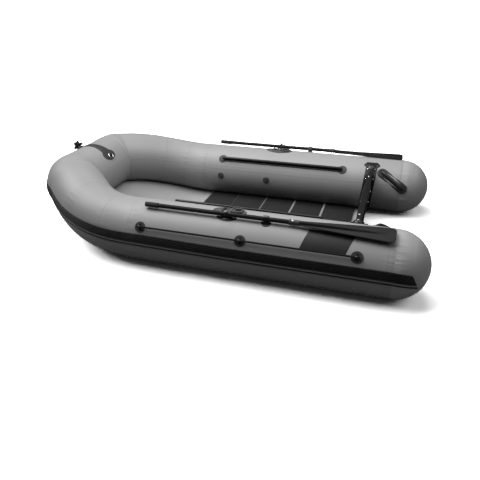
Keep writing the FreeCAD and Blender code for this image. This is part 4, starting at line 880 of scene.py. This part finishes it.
# Bow strap, towing ring and cleat
# A dark strap over the nose ends in a round patch with a steel ring behind it, and a
# rubber cleat with horns stands on the crown in front, for the painter.
strap_fabric = finish("strap_fabric", 0.034, 0.5, grain=(0.0012, 0.25), mottle=(0.05, 0.08))
STRAP_AFT, STRAP_FORE, STRAP_STEPS = 46, -21, 60
STRAP_HALF, STRAP_FLARE, STRAP_EDGE = 0.030, 0.016, 0.0015
STRAP_PATCH_HALF, STRAP_PATCH_STRETCH = 0.071, 0.66
RING_ANGLE, RING_RADIUS, RING_WIRE, RING_LIFT = 51, 0.0215, 0.0036, 0.0085
CLEAT_ANGLE = -34
CLEAT_PROFILE = ((0.033, 0.0), (0.033, 0.003), (0.028, 0.007), (0.020, 0.013), (0.016, 0.022),
                 (0.0165, 0.034), (0.019, 0.042), (0.0175, 0.052), (0.0105, 0.0595), (0, 0.0615))
# The path and the radii of each horn on one side: athwart, fore and aft, and raised.
CLEAT_HORNS = ((((0, 0.006, 0.030), (0, 0.020, 0.033), (0, 0.032, 0.036)), (0.010, 0.0095, 0.0075)),
               (((0.006, 0, 0.026), (0.024, 0, 0.027), (0.038, 0, 0.025), (0.047, 0, 0.021)),
                (0.010, 0.0105, 0.0115, 0.0080)),
               (((0.006, 0, 0.042), (0.018, 0, 0.053), (0.024, 0, 0.060)), (0.010, 0.0100, 0.0065)))
SADDLE_PROFILE = ((0.002, 0.034), (0.006, 0.032), (0.010, 0.026), (0.0125, 0.016), (0.0132, 0.009))


def nose_place(angle, height=0.0):
    """A place on the nose at mid-boat: Z out of it, angle 0 up and positive aft."""
    turn = math.radians(angle)
    out = np.array([-math.sin(turn), 0, math.cos(turn)])
    spot = (NOSE_X, 0, NOSE_Z) + out * (BOW_RADIUS + height)
    return pose(np.cross((0, 1, 0), out), (0, 1, 0), out, spot)


def nose_wrapped(angle, shape):
    """A flat shape bent over the nose: X forward round it, Y to port, Z is height."""
    points, faces = shape
    turn = np.radians(angle) - points[:, 0] / BOW_RADIUS
    reach = BOW_RADIUS + points[:, 2]
    bent = [NOSE_X - reach * np.sin(turn), points[:, 1], NOSE_Z + reach * np.cos(turn)]
    return np.column_stack(bent), faces


# The strap flares aft, by a power of the share of it gone by, into the round patch.
strap_share = np.linspace(-0.5, 0.5, STRAP_STEPS)[:, None]
strap_x = strap_share * math.radians(STRAP_AFT - STRAP_FORE) * BOW_RADIUS
strap_half = STRAP_HALF + STRAP_FLARE * np.clip(0.4 - strap_share * 1.6, 0, 1) ** 1.5
strap_y = strap_half * (-1, -1, -1, 0, 1, 1, 1) + np.array([0, 0, STRAP_EDGE, 0, -STRAP_EDGE, 0, 0])
strap_z = np.array([-0.001, 0.0022, 0.0030, 0.0031, 0.0030, 0.0022, -0.001])
strap = stack(np.stack(np.broadcast_arrays(strap_x, strap_y, strap_z), axis=-1))
strap_patch = patch(round_outline(STRAP_PATCH_HALF, stretch=STRAP_PATCH_STRETCH), 0.0034, edge=0.002)
strap_shapes = [nose_wrapped((STRAP_AFT + STRAP_FORE) / 2, strap), nose_wrapped(STRAP_AFT, strap_patch)]
piece("bow_strap_webbing", strap_shapes, strap_fabric, stands_for=("bow_strap",), crease=50)
ring_turn = np.linspace(0, 2 * math.pi, 49)
ring_path = RING_RADIUS * np.column_stack([np.cos(ring_turn), np.sin(ring_turn), 0 * ring_turn])
ring = moved(rod(ring_path, RING_WIRE, sides=12), nose_place(RING_ANGLE, RING_LIFT))
piece("tow_ring_wire", [ring], bright_steel, stands_for=("bow_ring",), crease=60)
saddle = stack([at(height, box_outline(length, 0.022, 0.004, steps=4))
                for height, length in SADDLE_PROFILE])
piece("tow_ring_saddle", [moved(saddle, nose_place(RING_ANGLE, 0.001))], black_plastic)
cleat_shapes = [lathe(CLEAT_PROFILE)]
cleat_shapes += [rod(np.array(path) * (way, way, 1), radii)
                 for way in (1, -1) for path, radii in CLEAT_HORNS]
piece("bow_cleat_moulding", [moved(shape, nose_place(CLEAT_ANGLE)) for shape in cleat_shapes],
      black_plastic, stands_for=("bow_cleat",))

# Oarlocks
# A grey moulded base glued over the crown of each tube, barred and framed on top, with a pin
# near its outboard edge under a knob, and a yoke on the pin that carries the oar.
lock_plastic = finish("lock_plastic", 0.060, 0.45, grain=(0.0012, 0.1), mottle=(0.04, 0.08))
knob_plastic = finish("knob_plastic", 0.10, 0.4)
LOCK_ANGLE, BASE_ANGLE, CROWN_ANGLE, OAR_LIFT = 71.5, 88, 89, 0.0255
CROSS_BARS, FRAME_X, FRAME_Y = (0.048, 0.014, -0.012, -0.080), -0.046, 0.024
BARS_LOW, BARS_TOP, BARS_EDGE = 0.002, 0.0155, 0.0015
PIN_PROFILE = ((0.027, 0.0), (0.027, 0.0055), (0.0255, 0.007), (0.0055, 0.007), (0.005, 0.0075),
               (0.005, 0.046))
KNOB_PROFILE = ((0.008, 0.0438), (0.0105, 0.0448), (0.0115, 0.047), (0.0110, 0.050),
                (0.0070, 0.0525), (0, 0.0530))
POST_PROFILE = ((0.015, 0.0086), (0.015, 0.0405), (0.0135, 0.0422), (0.006, 0.0425))
# The start, end and radius of each of the yoke's collars, and the middle and length of each black block of
# painted shade laid in a bay between the bars.
COLLARS = ((-0.033, -0.020, 0.017), (-0.020, 0.020, 0.0162), (0.020, 0.033, 0.017))
BAY_SHADES = ((0.031, 0.020), (-0.052, 0.038))
base = patch(round_outline(0.055, steps=72, stretch=1.98), 0.0062, edge=0.004)
crown = patch(round_outline(0.036, steps=60, stretch=2.3), 0.0105, edge=0.004)
pin_pad = patch(round_outline(0.030, stretch=2.2), 0.004, edge=0.002)
cross_bar = slab(box_outline(0.009, 0.050, 0.003), BARS_LOW, BARS_TOP, BARS_EDGE)
frame_bar = slab(box_outline(0.066, 0.010, 0.003), BARS_LOW, BARS_TOP, BARS_EDGE)
catch = slab(box_outline(0.020, 0.016, 0.004, steps=4), 0.004, 0.0082, 0.002)
for side, sign in SIDES:
    top, lock = tube_place(sign, LOCK_STATION, 90), tube_place(sign, LOCK_STATION, LOCK_ANGLE)
    shapes = [wrapped(sign, LOCK_STATION, BASE_ANGLE, base),
              wrapped(sign, LOCK_STATION, CROWN_ANGLE, crown)]
    shapes += [moved(cross_bar, top @ shift(x)) for x in CROSS_BARS]
    shapes += [moved(frame_bar, top @ shift(FRAME_X, way * FRAME_Y)) for way in (1, -1)]
    shapes.append(moved(lathe(PIN_PROFILE), lock))
    piece(f"oarlock_moulding_{side}", shapes, lock_plastic,
          stands_for=(f"oarlock_base_{side}",), crease=40)
    # A black pad under the pin, and black blocks in the bays between the bars that are painted shade.
    pad_and_bay_shades = [wrapped(sign, LOCK_STATION, LOCK_ANGLE - 1, pin_pad)]
    pad_and_bay_shades += [moved(slab(box_outline(length, 0.040, 0.004), 0.006, 0.0118, 0.001), top @ shift(x))
                     for x, length in BAY_SHADES]
    piece(f"oarlock_pin_pad_and_bay_shade_{side}", pad_and_bay_shades, black_plastic)
    knob = [moved(lathe(KNOB_PROFILE), lock), moved(catch, lock @ shift(0.006, sign * 0.018))]
    piece(f"oarlock_knob_{side}", knob, knob_plastic)
    axle = lock @ shift(z=OAR_LIFT)
    yoke = [moved(bar((start, 0, 0), (end, 0, 0), radius, sides=28, round_end=0.002), axle)
            for start, end, radius in COLLARS] + [moved(lathe(POST_PROFILE), lock)]
    piece(f"oarlock_yoke_moulding_{side}", yoke, black_plastic, body=f"oar_{side}",
          stands_for=(f"oarlock_yoke_{side}",))

# Oar clips
# A moulded hook on a round black patch abaft each oarlock, open outboard, that the oar's
# shaft snaps into when it is stowed. The hook is an arc between two circles.
clip_plastic = finish("clip_plastic", 0.05, 0.45)
CLIP_STATION, CLIP_INNER, CLIP_OUTER, CLIP_ARC = 0.973, 0.0156, 0.0215, (75, 285)
CLIP_PATCH_RADIUS, CLIP_PATCH_OFFSET = 0.032, 0.006
clip_turn = np.radians(np.linspace(*CLIP_ARC, 30))
clip_arc = np.column_stack([np.cos(clip_turn), np.sin(clip_turn)])
clip_section = np.concatenate([clip_arc * CLIP_INNER, clip_arc[::-1] * CLIP_OUTER]) + (0, OAR_LIFT)
clip_foot = slab(box_outline(0.032, 0.030, 0.004), 0.001, 0.0085, 0.002)
for side, sign in SIDES:
    clip = tube_place(sign, CLIP_STATION, LOCK_ANGLE)
    hook = stack([np.column_stack([np.full(len(clip_section), x), clip_section * (sign, 1)])
                  for x in (-0.016, -0.014, 0.014, 0.016)])
    piece(f"oar_clip_hook_{side}", [moved(hook, clip), moved(clip_foot, clip)], clip_plastic,
          stands_for=(f"oar_clip_{side}",))
    clip_patch = patch(round_outline(CLIP_PATCH_RADIUS) + (0, CLIP_PATCH_OFFSET * sign), 0.0026)
    piece(f"oar_clip_patch_{side}", [wrapped(sign, CLIP_STATION, LOCK_ANGLE, clip_patch)],
          black_plastic)

# Oars
# A black anodised tube with a foam grip forward, a plastic ferrule where it comes apart,
# held by a steel button, and a moulded blade whose rib fades out into its face.
oar_tube = finish("oar_tube", 0.009, 0.45, grain=(0.0008, 0.05), gloss=0.10)
grip_foam = finish("grip_foam", 0.020, 0.8, grain=(0.0015, 0.5))
ferrule_plastic = finish("ferrule_plastic", 0.035, 0.4)
blade_plastic = finish("blade_plastic", 0.008, 0.5, grain=(0.0015, 0.08), mottle=(0.08, 0.06),
                       gloss=0.12)
OAR_FORE, OAR_AFT, SHAFT_RADIUS = 0.552, 1.004, 0.014
GRIP_LENGTH, GRIP_FOAM_RADIUS, GRIP_CUFF_RADIUS = 0.092, 0.0165, 0.0169
FERRULE_MIDDLE, FERRULE_LENGTH, FERRULE_RADIUS = 0.425, 0.066, 0.0165
FERRULE_RINGS, RING_HALF, RING_OUTER = (0.0, 0.35, 0.7, 1.0), 0.004, 0.0178
BLADE_ROOT, BLADE_SHOULDER, BLADE_HALVES, BLADE_CORNER = 0.462, 0.32, (0.020, 0.046, 0.063), 0.034
BLADE_EDGE, BLADE_CUP = 0.0034, 0.004
BLADE_RIB_HEIGHT, BLADE_RIB_HALF, BLADE_RIB_END = 0.0130, 0.0138, 0.90
BLADE_ROLL, BLADE_DROP = {"port": 2.5, "starboard": 26.0}, {"port": 0.0, "starboard": 0.005}


def blade():
    """The blade as closed sections along it, worked out as arrays of sections by points.

    The half width is read off three spots and loses a circle's sagitta at the end corners.
    Half a turn's cosine spreads each section's points across it. The plate's edge thins as a
    power of the sine, the rib is an ellipse across and along, and the cup is a parabola.
    """
    back = np.linspace(BLADE_ROOT, OAR_AFT - BLADE_CORNER - 0.001, 46)
    corner = OAR_AFT - BLADE_CORNER * (1 - np.sin(np.linspace(0, math.pi / 2, 12)))
    x = np.concatenate([back, corner])[:, None]
    left = np.clip(OAR_AFT - x, 0, BLADE_CORNER)
    sagitta = BLADE_CORNER - np.sqrt(BLADE_CORNER ** 2 - (BLADE_CORNER - left) ** 2)
    half = np.interp(x, (BLADE_ROOT, BLADE_ROOT + BLADE_SHOULDER, OAR_AFT), BLADE_HALVES) - sagitta
    gone = (x - BLADE_ROOT) / (OAR_AFT - BLADE_ROOT)
    turn = np.linspace(0, math.pi, 33)
    y = half * np.cos(turn)
    plate = BLADE_EDGE * np.sin(turn) ** 0.4
    rib_half = BLADE_RIB_HALF * (1 - 0.45 * gone)
    rib_height = BLADE_RIB_HEIGHT * np.sqrt(np.clip(1 - (gone / BLADE_RIB_END) ** 2, 0, 1))
    rib = rib_height * np.sqrt(np.clip(1 - (y / rib_half) ** 2, 0, 1))
    cup = -BLADE_CUP * (y / BLADE_HALVES[-1]) ** 2
    over, under = plate + rib + cup, -plate - rib * 0.9 + cup
    round_y = np.concatenate([y, y[:, -2:0:-1]], axis=1)
    round_z = np.concatenate([over, under[:, -2:0:-1]], axis=1)
    return stack(np.stack(np.broadcast_arrays(-x, round_y, round_z), axis=-1))


def along_oar(start, end, radius, round_end=0.0):
    """A round bar along the oar, from one distance before the pin to another."""
    return bar((start, 0, 0), (end, 0, 0), radius, sides=32, round_end=round_end)


ferrule_aft = -(FERRULE_MIDDLE + FERRULE_LENGTH / 2)
ferrule_spots = [ferrule_aft + 0.006 + (FERRULE_LENGTH - 0.012) * share for share in FERRULE_RINGS]
ferrule = [along_oar(ferrule_aft, ferrule_aft + FERRULE_LENGTH, FERRULE_RADIUS, 0.003)]
ferrule += [along_oar(spot - RING_HALF, spot + RING_HALF, RING_OUTER, 0.002) for spot in ferrule_spots]
grip_aft = OAR_FORE - GRIP_LENGTH
grip = [along_oar(grip_aft, OAR_FORE, GRIP_FOAM_RADIUS, 0.008),
        along_oar(grip_aft - 0.004, grip_aft + 0.006, GRIP_CUFF_RADIUS, 0.003)]
for side, sign in SIDES:
    body = f"oar_{side}"
    axle = tube_place(sign, LOCK_STATION, LOCK_ANGLE) @ shift(z=OAR_LIFT)
    shaft = along_oar(-BLADE_ROOT, OAR_FORE - 0.04, SHAFT_RADIUS)
    piece(f"oar_tube_{side}", [moved(shaft, axle)], oar_tube, body=body,
          stands_for=(f"oar_shaft_{side}",), crease=50)
    piece(f"oar_ferrule_{side}", [moved(shape, axle) for shape in ferrule], ferrule_plastic,
          body=body)
    button = moved(bolt(0.0035, 0.0025), axle @ shift(0.01 - FERRULE_MIDDLE, z=FERRULE_RADIUS))
    piece(f"oar_button_{side}", [button], bright_steel, body=body)
    piece(f"oar_grip_foam_{side}", [moved(shape, axle) for shape in grip], grip_foam,
          body=body, stands_for=(f"oar_grip_{side}",))
    flat = axle @ shift(z=-BLADE_DROP[side], axis="X", degrees=sign * BLADE_ROLL[side])
    screw = moved(bolt(0.004, 0.003), flat @ shift(0.075 - OAR_AFT, z=0.0032))
    piece(f"oar_blade_moulding_{side}", [moved(blade(), flat), screw], blade_plastic,
          body=body, stands_for=(f"oar_blade_{side}",), crease=40)
